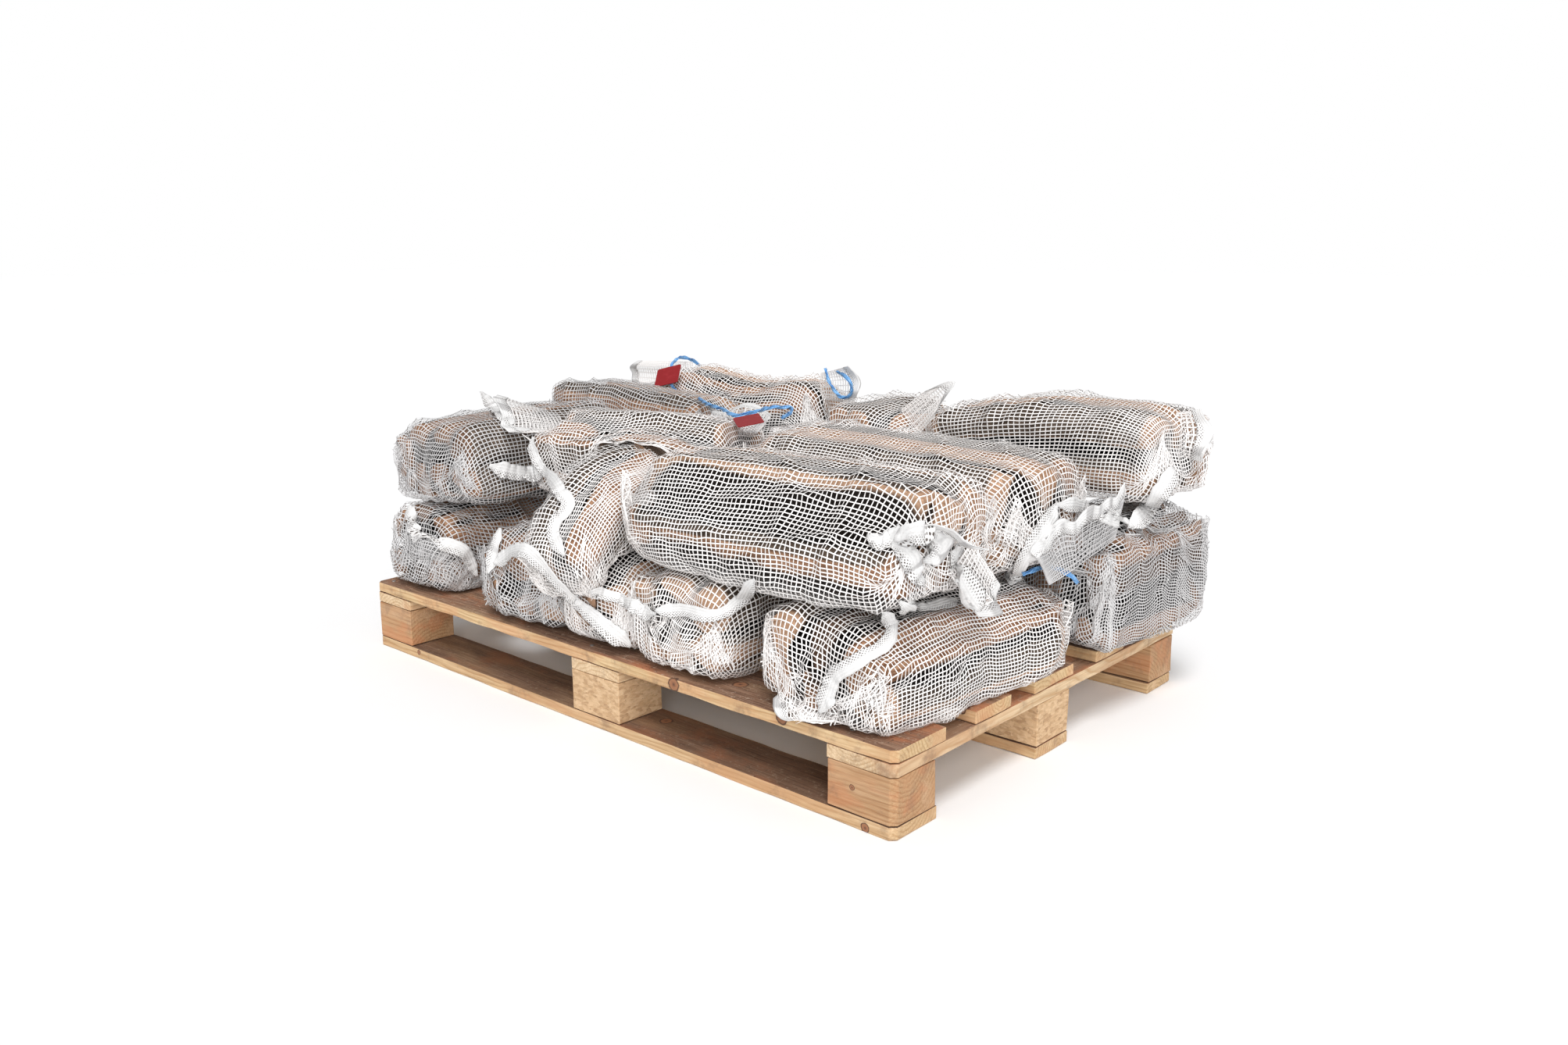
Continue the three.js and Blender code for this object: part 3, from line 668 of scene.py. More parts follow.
def smooth_route(points, places):
    """Points on the smooth curve through the given ones, at places from 0 to 1."""
    points = np.asarray(points, float)
    last = len(points) - 1
    spots = np.clip(np.asarray(places, float) * last, 0, last)
    spans = np.minimum(spots.astype(int), last - 1)
    w = (spots - spans)[:, None]
    padded = np.vstack([2 * points[0] - points[1], points, 2 * points[-1] - points[-2]])
    p0, p1, p2, p3 = (padded[spans + k] for k in range(4))
    pairs = [(p0, p1), (p1, p2), (p2, p3)]
    d0, d1, d2 = (np.sqrt(np.linalg.norm(b - a, axis=1, keepdims=True)) for a, b in pairs)
    t1 = ((p1 - p0) / d0 - (p2 - p0) / (d0 + d1) + (p2 - p1) / d1) * d1
    t2 = ((p2 - p1) / d1 - (p3 - p1) / (d1 + d2) + (p3 - p2) / d2) * d1
    square = 3 * (p2 - p1) - 2 * t1 - t2
    cube = 2 * (p1 - p2) + t1 + t2
    return p1 + t1 * w + square * w ** 2 + cube * w ** 3


def line_length(points):
    return np.linalg.norm(np.diff(points, axis=0), axis=1).sum()


def run_along(points):
    """How far along a line of points each of them lies."""
    return np.concatenate([[0], np.cumsum(np.linalg.norm(np.diff(points, axis=0), axis=1))])


def even_along(points, count, closed=False):
    """count points spaced evenly by distance along a line of points."""
    loop = np.vstack([points, points[:1]]) if closed else np.asarray(points)
    run = run_along(loop)
    wanted = np.linspace(0, run[-1], count, endpoint=not closed)
    return np.stack([np.interp(wanted, run, loop[:, k]) for k in range(loop.shape[1])], axis=1)


def ease(line, times):
    """A line of points with its kinks smoothed out and its ends kept."""
    for _ in range(times):
        line = np.concatenate([line[:1], (line[:-2] + 2 * line[1:-1] + line[2:]) / 4, line[-1:]])
    return line


def wander(points, scale, seed, waves=7):
    """Smooth noise from -1 to 1 or so at each point, out of a few waves, and the same on every run."""
    choices = np.random.default_rng(seed)
    ways = unit(choices.normal(size=(waves, points.shape[-1])))
    ways = ways * choices.uniform(0.5, 1.5, (waves, 1)) * scale
    phases = choices.uniform(0, 2 * math.pi, waves)
    return np.sin(points @ ways.T + phases).sum(axis=-1) / math.sqrt(waves)


def finish_piece(mesh, name, material, smooth=True):
    """A piece that shows, from its finished mesh. It rides on the root, as nothing on the pallet moves."""
    piece = bpy.data.objects.new(name, mesh)
    scene.collection.objects.link(piece)
    mesh.materials.append(material)
    mesh.polygons.foreach_set("use_smooth", [smooth] * len(mesh.polygons))
    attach(piece, "root")
    return piece


def to_mesh(bm, name):
    mesh = bpy.data.meshes.new(name)
    bm.to_mesh(mesh)
    bm.free()
    return mesh


def bevel(bm, edges, offset, segments):
    bmesh.ops.bevel(bm, geom=edges, offset=offset, offset_type="OFFSET", segments=segments, profile=0.5,
                    affect="EDGES", material=-1)


def vertex_places(mesh):
    places = np.empty(len(mesh.vertices) * 3)
    mesh.vertices.foreach_get("co", places)
    return places.reshape(-1, 3)


def move_vertices(mesh, places):
    mesh.vertices.foreach_set("co", np.ascontiguousarray(places).ravel())
    mesh.update()


def set_numbers(mesh, name, values):
    """Gives each vertex of a mesh a number for its material to read."""
    mesh.attributes.new(name, "FLOAT", "POINT").data.foreach_set("value", values.ravel())


def set_vectors(mesh, name, values):
    """Gives each vertex of a mesh a vector for its material to read."""
    mesh.attributes.new(name, "FLOAT_VECTOR", "POINT").data.foreach_set("vector", values.ravel())


def long_tube(sides, rings, fanned):
    """A closed tube one metre in radius, from -1 to 1, with rings of vertices along it. Its ends are fans of
    triangles, or else one face each."""
    bm = bmesh.new()
    bmesh.ops.create_cone(bm, cap_ends=True, cap_tris=fanned, segments=sides, radius1=1, radius2=1, depth=2)
    long_edges = [e for e in bm.edges if abs(e.verts[0].co.z - e.verts[1].co.z) > 1]
    bmesh.ops.subdivide_edges(bm, edges=long_edges, cuts=rings - 1)
    return bm


def tree_of(mesh):
    """The surface of a mesh, to measure from."""
    faces = [list(face.vertices) for face in mesh.polygons]
    return BVHTree.FromPolygons([v.co for v in mesh.vertices], faces)


def tree_of_all(objects):
    """One surface to measure from, out of all the CAD's solids given."""
    places = []
    faces = []
    for piece in objects:
        first = len(places)
        places += [piece.matrix_world @ v.co for v in piece.data.vertices]
        faces += [[first + index for index in face.vertices] for face in piece.data.polygons]
    return BVHTree.FromPolygons(places, faces)


def nearest_faces(tree, points):
    """The nearest place on a surface to each point, and which way the surface looks there."""
    hits = [tree.find_nearest(Vector(p)) for p in points.reshape(-1, 3)]
    spots = np.array([hit[0] for hit in hits]).reshape(points.shape)
    normals = np.array([hit[1] for hit in hits]).reshape(points.shape)
    return spots, normals


def push_in(points, spots, normals, margin):
    """Moves the points inwards that are less than a margin inside a surface, by its nearest spots and
    normals."""
    over = ((points - spots) * normals).sum(axis=-1, keepdims=True) + margin
    return points - np.maximum(over, 0) * normals


def hold_inside(points, surface, margin, times):
    """Moves the points inwards, a few times over, that are less than a margin inside a surface."""
    for _ in range(times):
        spots, normals = nearest_faces(surface, points)
        points = push_in(points, spots, normals, margin)
    return points


def push_out(points, spots, normals, margin):
    """Moves the points outwards that are less than a margin outside a surface, by its nearest spots and
    normals."""
    short = margin - ((points - spots) * normals).sum(axis=-1, keepdims=True)
    return points + np.maximum(short, 0) * normals


def string_mesh(name, points):
    """Strands of flat film, twisted round each other along the points of a route."""
    dense = smooth_route(points, np.linspace(0, 1, 600))
    rings = int(line_length(dense) / STRING_STEP)
    path = even_along(dense, rings + 1)
    ahead = unit(np.gradient(path, axis=0))
    side = unit(np.cross(ahead, (0.2, 0.1, 1.0)))
    up = np.cross(side, ahead)
    tube = to_mesh(long_tube(STRING_SIDES, rings, True), name + "_tube")
    shape = vertex_places(tube)
    ring = np.rint((shape[:, 2] + 1) / 2 * rings).astype(int)
    angle = np.arctan2(shape[:, 1], shape[:, 0])
    radius = np.hypot(shape[:, 0], shape[:, 1]) * STRAND_WIDTH / 2
    wide = radius * np.cos(angle)
    thick = radius * np.sin(angle) * STRING_FLATNESS
    bm = bmesh.new()
    places = []
    for strand in range(STRANDS):
        bm.from_mesh(tube)
        loose = wander(path, 60.0, 30 + strand, 5)[ring]
        twist = (ring * STRING_STEP * STRING_TURNS_PER_METRE + strand / STRANDS) * 2 * math.pi
        out = STRAND_OUT * (1 + STRAND_UNEVENNESS * loose)
        lean = twist * STRAND_LEAN + loose
        x = out * np.cos(twist) + wide * np.cos(lean) - thick * np.sin(lean)
        z = out * np.sin(twist) + wide * np.sin(lean) + thick * np.cos(lean)
        places.append(path[ring] + side[ring] * x[:, None] + up[ring] * z[:, None])
    mesh = to_mesh(bm, name)
    move_vertices(mesh, np.concatenate(places))
    return mesh, path


def add_tag(name, middle, turn, material):
    """A flat card with rounded corners, turned and put in its place."""
    bm = bmesh.new()
    bmesh.ops.create_cube(bm, size=1)
    bmesh.ops.scale(bm, vec=TAG_SIZE, verts=bm.verts)
    upright = [e for e in bm.edges if abs(e.verts[0].co.z - e.verts[1].co.z) > TAG_SIZE[2] / 2]
    bevel(bm, upright, TAG_CORNER, 3)
    turns = Euler([math.radians(angle) for angle in turn]).to_matrix().to_4x4()
    bmesh.ops.transform(bm, matrix=Matrix.Translation(middle) @ turns, verts=bm.verts)
    tag = finish_piece(to_mesh(bm, name + "_card"), name + "_card", material, smooth=False)
    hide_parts(name)
    return tag


def add_strings():
    blue = blue_film()
    red = red_card()
    tags = {name: add_tag(name, tag["middle"], tag["turn"], red) for name, tag in TAGS.items()}
    for name, string in STRINGS.items():
        mesh, path = string_mesh(name + "_film", string["points"])
        piece = finish_piece(mesh, name + "_film", blue)
        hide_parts(name)


def chance(seed, choice):
    """A number from -1 to 1 for one choice of one sack, as in the source."""
    wave = math.sin(seed * 127.1 + choice * 311.7) * 43758.5453
    return 2 * (wave - math.floor(wave)) - 1


def logs_of(sack):
    """The logs of a sack in its cross-section, as in the source. Each has its place across and up, its
    radius, its lean and how far along the sack it reaches."""
    rows = max(2, round(sack["height"] / LOG_SIZE))
    columns = max(2, round(sack["width"] / LOG_SIZE))
    usual = 0.5 * min(sack["width"] / columns, sack["height"] / rows)
    logs = []
    for row in range(rows):
        for column in range(columns):
            size, x, z, lean, reach = (chance(sack["seed"], len(logs) * 5 + k) for k in range(5))
            radius = usual * (1 + LOG_VARIETY * size)
            reach_x = sack["width"] / 2 - radius
            reach_z = sack["height"] / 2 - radius
            at_x = (2 * column / (columns - 1) - 1) * reach_x + LOG_JITTER * x
            at_z = (2 * row / (rows - 1) - 1) * reach_z + LOG_JITTER * z
            logs.append([min(max(at_x, -reach_x), reach_x), min(max(at_z, -reach_z), reach_z), radius,
                         LOG_JITTER * lean, LONG_LOG + LENGTH_VARIETY * reach])
    return np.array(logs)


def settled_logs(sack):
    """The logs as they show: the upper ones at both sides have sunk in a little, and the front one of a
    slanted sack has rolled back."""
    logs = logs_of(sack)
    slant = sack.get("slant", 0)
    upper = logs[:, 1] > UPPER_FROM * logs[:, 1].max()
    share = logs[:, 0] / np.abs(logs[:, 0]).max()
    front = upper & (share > FRONT_FROM)
    logs[:, 1] -= np.where(upper, SINK * share ** 2, 0) + np.where(front, SLANT_DROP * slant, 0)
    logs[:, 0] -= np.where(upper, SINK_INWARD * SINK * np.sign(share), 0) + np.where(front, slant, 0)
    return logs


def sack_line(sack):
    """The line through the middle of a sack. A straight one is given a slight bow, as in the source."""
    line = np.array(sack["line"])
    if len(line) == 2:
        middle = line.mean(axis=0)
        middle[0] += BOW * chance(sack["seed"], 90)
        middle[1] += BOW * chance(sack["seed"], 91)
        line = np.array([line[0], middle, line[1]])
    return line


def sections(sack, along):
    """The middle of the sack's cross-section, and the ways across it, up in it and ahead, at places from -1
    to 1."""
    line = sack_line(sack)
    where = (np.asarray(along) + 1) / 2
    middle = smooth_route(line, where)
    nudge = 1e-4
    before = smooth_route(line, np.maximum(where - nudge, 0))
    ahead = unit(smooth_route(line, np.minimum(where + nudge, 1)) - before)
    across = unit(np.cross(ahead, (0, 0, 1)))
    up = np.cross(across, ahead)
    turn = math.radians(sack.get("turn", 0))
    turned_across = across * math.cos(turn) - up * math.sin(turn)
    turned_up = up * math.cos(turn) + across * math.sin(turn)
    return middle, turned_across, turned_up, ahead


def log_template():
    """A plain round log one metre in radius, from -1 to 1, with an inner ring on both ends."""
    bm = long_tube(LOG_SIDES, LOG_RINGS, False)
    caps = [f for f in bm.faces if len(f.verts) > 4]
    bmesh.ops.inset_region(bm, faces=caps, thickness=LOG_RIM)
    return to_mesh(bm, "log_template")


def log_outline(angle, kind, opening):
    """How far the side of a log of radius one is from its middle, and how much of it is bark. kind is
    wedge, half or round, and opening is half the angle between the split faces."""
    pith = LOG_KINDS[kind]["pith"]
    reach = LOG_KINDS[kind]["reach"]
    bark = -pith * np.cos(angle) + np.sqrt(np.maximum(reach ** 2 - (pith * np.sin(angle)) ** 2, 0.01))
    if kind == "round":
        return bark, np.ones_like(angle), pith
    split = np.full_like(angle, 9.0)
    for side in (-1, 1):
        lean = np.cos(angle - side * (math.pi / 2 + opening))
        split = np.minimum(split, pith * math.sin(opening) / np.maximum(lean, 0.02))
    softness = 10
    radius = (bark ** -softness + split ** -softness) ** (-1 / softness)
    return radius, (bark < split).astype(float), pith


def log_points(sack, log, number, template, room):
    """The vertices of one log in place, with its grain, bark and tone."""
    x, z, radius, lean, reach = log
    choices = np.random.default_rng(1000 * sack["seed"] + number)
    kind = choices.choice(list(LOG_KINDS), p=[split["share"] for split in LOG_KINDS.values()])
    opening = math.radians({"wedge": choices.uniform(*WEDGE_OPENING), "half": HALF_OPENING, "round": 0}[kind])
    angle = np.arctan2(template[:, 1], template[:, 0])
    middle_distance = np.hypot(template[:, 0], template[:, 1])
    outline, bark, pith = log_outline(angle, kind, opening)
    along = -template[:, 2]
    swell = 1 + LOG_SWELL * wander(np.stack([along * 2, along], 1), 2.0, choices.integers(1e6))
    ridges = wander(np.stack([np.cos(angle) * 2.2, np.sin(angle) * 2.2, along * 1.2], 1), 2.4,
                    choices.integers(1e6), 12)
    size = radius * LOG_FILLS * outline * middle_distance * swell * (1 + LOG_RIDGES * ridges)
    turned = angle + choices.uniform(0, 2 * math.pi) + LOG_TWIST * along * choices.uniform(-1, 1)
    local_x = size * np.cos(turned)
    local_z = size * np.sin(turned)
    places = along * (reach - LOG_SHORTER * choices.uniform(0, 1))
    middle, across, up, _ = sections(sack, places)
    core = middle + across * (x + lean * places)[:, None] + up * z
    points = core + across * local_x[:, None] + up * local_z[:, None]
    half = line_length(sack["line"]) / 2
    plain_x = size * np.cos(angle) + pith * radius
    grain = np.stack([plain_x, size * np.sin(angle), places * half + choices.uniform(-5, 5)], axis=1)
    spots, normals = nearest_faces(room, points)
    gap = ((spots - points) * normals).sum(axis=1)
    facing = np.clip((unit(points - core) * normals).sum(axis=1), 0, 1)
    filled = np.clip(gap - LOG_CLEARANCE, 0, FILL_REACH) * facing * choices.uniform(*FILL_SHARE)
    points = points + normals * filled[:, None]
    points = hold_inside(points, room, LOG_CLEARANCE, 2)
    on_side = np.abs(along) < 0.999
    # Each log's tone is random; a sack's light below one lowers it, as painted shade.
    tone = choices.uniform(0, 1) ** 0.6 * sack.get("light", 1)
    return points, grain, bark * on_side, np.full(len(points), tone)


def pixel_way(pixel):
    """The direction from the camera through a pixel of the photograph."""
    level = Vector((math.cos(CAMERA_TURN), math.sin(CAMERA_TURN), 0))
    ahead = camera_ahead()
    up = level.cross(ahead)
    right_of = (pixel[0] - PHOTO_MIDDLE[0]) / FOCAL_LENGTH_PIXELS
    above = (PHOTO_MIDDLE[1] - pixel[1]) / FOCAL_LENGTH_PIXELS
    return (ahead + level * right_of + up * above).normalized()


def seen_depth(trees, way):
    """How far along a line from the camera the first of the surfaces is, or nan past them all."""
    hits = [tree.ray_cast(CAMERA_PLACE, way)[3] for tree in trees]
    return min([hit for hit in hits if hit is not None], default=math.nan)


def seen_place(trees, pixel, near):
    """Where the camera's line through a pixel of the photograph first meets one of the surfaces, or else
    passes nearest to the first of them."""
    way = pixel_way(pixel)
    depth = seen_depth(trees, way)
    if not math.isnan(depth):
        return np.array(CAMERA_PLACE + way * depth)
    passing = CAMERA_PLACE + way * (Vector(near) - CAMERA_PLACE).dot(way)
    return np.array(trees[0].find_nearest(passing)[0])


def bring_forward(points, trees, margin):
    """Moves points that lie behind one of the surfaces, seen from the camera, to just in front of it."""
    flat = points.reshape(-1, 3).copy()
    for number, point in enumerate(flat):
        away = Vector(point) - CAMERA_PLACE
        way = away.normalized()
        depth = seen_depth(trees, way)
        if depth - margin < away.length:
            flat[number] = CAMERA_PLACE + way * (depth - margin)
    return flat.reshape(points.shape)


def seen_path(trees, pixels):
    """A line over the surfaces along a line of pixels. It bridges the hollows between them."""
    dense = even_along(smooth_route(pixels, np.linspace(0, 1, 400)), 150)
    ways = [pixel_way(pixel) for pixel in dense]
    depths = np.array([seen_depth(trees, way) for way in ways])
    known = np.flatnonzero(~np.isnan(depths))
    depths = np.interp(np.arange(len(depths)), known, depths[known])
    padded = np.pad(depths, 6, mode="edge")
    depths = np.min([padded[k:k + len(depths)] for k in range(13)], axis=0)
    depths = ease(depths, 60)
    return np.array([CAMERA_PLACE + way * depth for way, depth in zip(ways, depths)])


def add_logs(sack, template, material, room):
    """All the split logs of one sack, as one piece."""
    shape = vertex_places(template)
    logs = settled_logs(sack)
    bm = bmesh.new()
    for _ in logs:
        bm.from_mesh(template)
    mesh = to_mesh(bm, "logs_" + sack["name"])
    parts = [log_points(sack, log, number, shape, room) for number, log in enumerate(logs)]
    points, grain, bark, tone = (np.concatenate(column) for column in zip(*parts))
    move_vertices(mesh, points)
    set_vectors(mesh, "grain", grain)
    set_numbers(mesh, "bark", bark)
    set_numbers(mesh, "tone", tone)
    return finish_piece(mesh, "logs_" + sack["name"], material)


def hull_ring(logs, place, count):
    """The net's cross-section round the logs at one place along the sack, as count even points from the
    right-most log over the top. A split log is squarish, with corners of a smaller radius. Where another
    log becomes the right-most one, the first point jumps to it, and the threads run slantwise there."""
    angle = np.linspace(0, 2 * math.pi, 360, endpoint=False)
    way = np.stack([np.cos(angle), np.sin(angle)], axis=1)
    size = logs[:, 2] * np.where(abs(place) > logs[:, 4], SHORT_LOG_SHRINK, 1)
    middle = np.stack([logs[:, 0] + logs[:, 3] * place, logs[:, 1]], axis=1)
    flat = np.sign(way)[:, None] * (size * (1 - LOG_CORNER))[:, None]
    touch = middle + flat + way[:, None] * (size * LOG_CORNER)[:, None]
    first = (touch * way[:, None]).sum(axis=-1).argmax(axis=1)
    return even_along(touch[np.arange(len(way)), first], count, closed=True)


def seam_of(sack, end, room):
    """The seam across one end of a sack: where the photograph shows it, or else a curve that hangs across
    the end, because a tube sewn flat is wider than the sack."""
    middle, across, up, ahead = (rows[0] for rows in sections(sack, [end * SEAM_PLACE]))
    if "mouth" in sack and end == -1:
        points = np.array([seen_place([room], pixel, middle) for pixel in sack["mouth"]])
        spots, normals = nearest_faces(room, points)
        points = spots - normals * SEAM_INSIDE
        return points if (points[-1] - points[0]) @ across < 0 else points[::-1]
    tilt = SEAM_TILT * chance(sack["seed"], 70 + end)
    points = []
    for side in np.linspace(1, -1, 9):
        drop = sack["height"] * (-SEAM_DROP + 2 * SEAM_DROP * abs(side) ** 1.7 + tilt * side)
        sideways = across * side * SEAM_WIDTH * sack["width"]
        points.append(middle + sideways + up * drop + ahead * end * SEAM_PAST)
    return np.array(points)


def net_start(sack, logs, room):
    """The net before it is draped, as rows of points from the mouth to the foot."""
    bend = np.linspace(-math.pi / 2, math.pi / 2, 800)
    along = np.sign(bend) * np.abs(np.sin(bend)) ** (2 * END_SQUARENESS)
    full = np.maximum(np.cos(bend), 0) ** END_SQUARENESS
    half = line_length(sack["line"]) / 2
    profile = np.stack([along * half, full * sack["height"] / 2], 1)
    run = run_along(profile)
    rows = int(round(run[-1] / CLOTH_CELL))
    wanted = np.linspace(0, run[-1], rows + 1)
    along = np.interp(wanted, run, along)
    full = np.interp(wanted, run, full)
    girth = 2 * (sack["width"] + sack["height"]) * 0.9
    columns = 2 * int(round(girth / CLOTH_CELL / 2))
    middle, across, up, _ = sections(sack, along)
    order = np.minimum(np.arange(columns), columns - np.arange(columns))
    seams = {end: even_along(smooth_route(seam_of(sack, end, room), np.linspace(0, 1, 200)),
                             columns // 2 + 1)[order] for end in (-1, 1)}
    grid = np.empty((rows + 1, columns, 3))
    for i in range(rows + 1):
        ring = hull_ring(logs, along[i], columns)
        body = middle[i] + ring[:, :1] * across[i] + ring[:, 1:] * up[i]
        grid[i] = full[i] * body + (1 - full[i]) * seams[-1 if along[i] < 0 else 1]
    return hold_inside(grid, room, NET_OFF_NEIGHBOUR, 3)


def pull(a, b, rest):
    """Moves the points a and b towards being rest apart, hard where they are further apart and softly where
    they are nearer."""
    gap = b - a
    far = np.sqrt((gap ** 2).sum(axis=-1, keepdims=True)) + 1e-9
    spare = far - rest
    step = gap * (0.5 * spare / far * np.where(spare > 0, TIGHT_PULL, LOOSE_PULL))
    a += step
    b -= step


def drape(grid, logs_tree, room, seed):
    """The net after it has settled on its logs, inside the room its neighbours leave, with its length and
    its girth."""
    down = np.linalg.norm(np.diff(grid, axis=0), axis=-1).sum(axis=0)
    rest_down = down.mean() * NET_SLACK / (grid.shape[0] - 1)
    ring = np.linalg.norm(np.roll(grid, -1, axis=1) - grid, axis=-1)[SEAM_ROWS:-SEAM_ROWS].sum(axis=1)
    rest_round = ring.mean() * NET_SLACK / grid.shape[1]
    ends = grid[0].copy(), grid[-1].copy()
    sag = np.array([0, 0, -SAG])
    points = grid.copy()
    _, normals = nearest_faces(room, points)
    points -= normals * START_INSIDE * (1 + wander(points, 90.0, seed, 12))[..., None]
    before = points.copy()
    for step in range(DRAPE_STEPS):
        if step % CONTACT_EVERY == 0:
            out_spots, out_normals = nearest_faces(logs_tree, points)
            in_spots, in_normals = nearest_faces(room, points)
        speed = (points - before) * KEPT_SPEED
        before = points.copy()
        points += speed + sag
        points += (FIRST_DRAW if step < DRAPE_STEPS / 2 else LAST_DRAW) * (in_spots - points)
        for start in (0, 1):
            even = (points.shape[0] - start) // 2 * 2
            pull(points[start:start + even:2], points[start + 1:start + even:2], rest_down)
        pull(points[:, 0::2], points[:, 1::2], rest_round)
        shifted = np.roll(points, -1, axis=1)
        pull(shifted[:, 0::2], shifted[:, 1::2], rest_round)
        points = np.roll(shifted, 1, axis=1)
        around = np.roll(points, 1, axis=1) + np.roll(points, -1, axis=1)
        middle = (around[1:-1] + points[:-2] + points[2:]) / 4
        points[1:-1] += SMOOTHING * (middle - points[1:-1])
        points = push_out(points, out_spots, out_normals, NET_OFF_LOG)
        points = push_in(points, in_spots, in_normals, NET_OFF_NEIGHBOUR)
        points[0], points[-1] = ends
    return points, rest_down * (grid.shape[0] - 1), rest_round * grid.shape[1]


def spline_shares(part):
    """How much of each of four points in a row a smooth curve takes, part of the way from the second to
    the third."""
    return [(-part + 2 * part ** 2 - part ** 3) / 2, (2 - 5 * part ** 2 + 3 * part ** 3) / 2,
            (part + 4 * part ** 2 - 3 * part ** 3) / 2, (part ** 3 - part ** 2) / 2]


def places_on(grid, down, round_it):
    """Values on the smooth surface through a closed grid, at places counted in its rows and columns."""
    last = grid.shape[0] - 1
    row = np.clip(np.floor(down).astype(int), 0, last - 1)
    column = np.floor(round_it).astype(int)
    total = np.zeros(down.shape + grid.shape[2:])
    for i, share_down in enumerate(spline_shares(down - row)):
        from_row = np.clip(row + i - 1, 0, last)
        for j, share_round in enumerate(spline_shares(round_it - column)):
            from_column = (column + j - 1) % grid.shape[1]
            total += grid[from_row, from_column] * (share_down * share_round)[..., None]
    return total


def place_round(t, turn):
    """The place for noise on a net, t from 0 to 1 along it and turn from 0 to 1 round it. It closes on
    itself, so that the noise has no seam."""
    return np.stack([np.cos(2 * math.pi * turn), np.sin(2 * math.pi * turn), 4.2 * t], axis=-1)


def gathers(t, turn, seed):
    """How much the net is gathered towards both ends of its sack, from 0 to 1, and the phase of its
    pleats. t is from 0 to 1 along the net and turn from 0 to 1 round it."""
    spot = place_round(t, turn)
    gathered = np.clip(1 - np.minimum(t, 1 - t) / GATHER_REACH, 0, 1) ** 1.5
    patchy = np.clip(0.6 + 0.8 * wander(spot, 1.6, seed + 520), 0, 1)
    return gathered * patchy, 2 * math.pi * GATHERS * turn + 1.8 * wander(spot, 0.9, seed + 510)


def crossings_on(grid, rows, columns, seed):
    """Where the threads of a net cross on a draped grid. They wander, because the weave shears and shifts."""
    t = np.linspace(0, 1, rows + 1)[:, None] * np.ones((1, columns))
    turn = np.arange(columns)[None, :] / columns * np.ones((rows + 1, 1))
    spot = place_round(t, turn)
    calm = np.sin(math.pi * t) ** 0.5
    down = t * (grid.shape[0] - 1) + calm * (SWIRL * wander(spot, 1.5, seed + 300)
                                             + RIPPLE * wander(spot, 5.0, seed + 320))
    gathered, phase = gathers(t, turn, seed)
    round_it = (turn * grid.shape[1] + SWIRL * 1.3 * wander(spot, 1.5, seed + 400)
                + RIPPLE * wander(spot, 5.0, seed + 420) + GATHER_SHIFT * gathered * np.sin(phase))
    return places_on(grid, np.clip(down, 0, grid.shape[0] - 1), round_it)


def ribbon_faces(bm, ribbons, steps):
    """Flat ribbons side by side, each a row of faces: a grid with every second column taken out."""
    columns = 2 * ribbons - 1
    made = bmesh.ops.create_grid(bm, x_segments=columns, y_segments=steps, size=1)["verts"]
    faces = dict.fromkeys(f for v in made for f in v.link_faces)
    spare = [f for f in faces if int((f.calc_center_median().x + 1) / 2 * columns) % 2]
    bmesh.ops.delete(bm, geom=spare, context="FACES")


def woven_mesh(name, sheets):
    """A mesh of flat threads across each other. Each sheet is a closed grid of crossings, and a thread has
    a joint at every second one."""
    bm = bmesh.new()
    places = []
    for crossings in sheets:
        rows, columns = crossings.shape[:2]
        crossings = np.concatenate([crossings, crossings[:, :1]], axis=1)
        along = unit(np.gradient(crossings, axis=0))
        across = np.gradient(crossings, axis=1)
        across[:, 0] = across[:, -1] = (crossings[:, 1] - crossings[:, -2]) / 2
        across = unit(across)
        normal = unit(np.cross(along, across))
        over = crossings + normal * THREAD_LIFT
        under = crossings - normal * THREAD_LIFT
        warp_side = unit(np.cross(along, normal)) * THREAD_WIDTH / 2
        weft_side = unit(np.cross(across, normal)) * THREAD_WIDTH / 2
        warp = np.stack([over - warp_side, over + warp_side], axis=2)[::2, :columns]
        weft = np.stack([under - weft_side, under + weft_side], axis=1)[:, :, ::2]
        ribbon_faces(bm, columns, rows // 2)
        places.append(warp.reshape(-1, 3))
        ribbon_faces(bm, rows, columns // 2)
        places.append(weft.transpose(2, 0, 1, 3).reshape(-1, 3))
    mesh = to_mesh(bm, name)
    move_vertices(mesh, np.concatenate(places))
    return mesh


def surface_tree(grid):
    """A surface through a closed grid of points, to measure from."""
    rows, columns = grid.shape[:2]
    here = np.arange(rows * columns).reshape(rows, columns)
    right = np.roll(here, -1, axis=1)
    faces = np.stack([here[:-1], here[1:], right[1:], right[:-1]], axis=-1).reshape(-1, 4)
    return BVHTree.FromPolygons([Vector(p) for p in grid.reshape(-1, 3)], faces.tolist())


def fit_logs(logs_piece, net_tree):
    """Keeps the logs inside their net, and notes how deep each point lies, for the wood's painted shade."""
    logs = hold_inside(vertex_places(logs_piece.data), net_tree, LOG_UNDER_NET, 2)
    move_vertices(logs_piece.data, logs)
    spots, _ = nearest_faces(net_tree, logs)
    set_numbers(logs_piece.data, "depth", np.linalg.norm(logs - spots, axis=1))


def fold_shape(points, seed):
    """Ridges where the slack of a net gathers, in patches, from 0 to 1."""
    choices = np.random.default_rng(seed)
    height = np.zeros(points.shape[:-1])
    for family in range(FOLD_FAMILIES):
        way = unit(choices.normal(size=3))
        bend = 2.0 * wander(points, 11.0, seed + 10 + family)
        wave = np.sin(points @ way * choices.uniform(24, 46) + bend + choices.uniform(0, 2 * math.pi))
        patch = np.clip(0.2 + 1.2 * wander(points, 8.0, seed + 40 + family), 0, 1)
        height = np.maximum(height, patch * (1 - np.abs(wave)) ** 2)
    return height


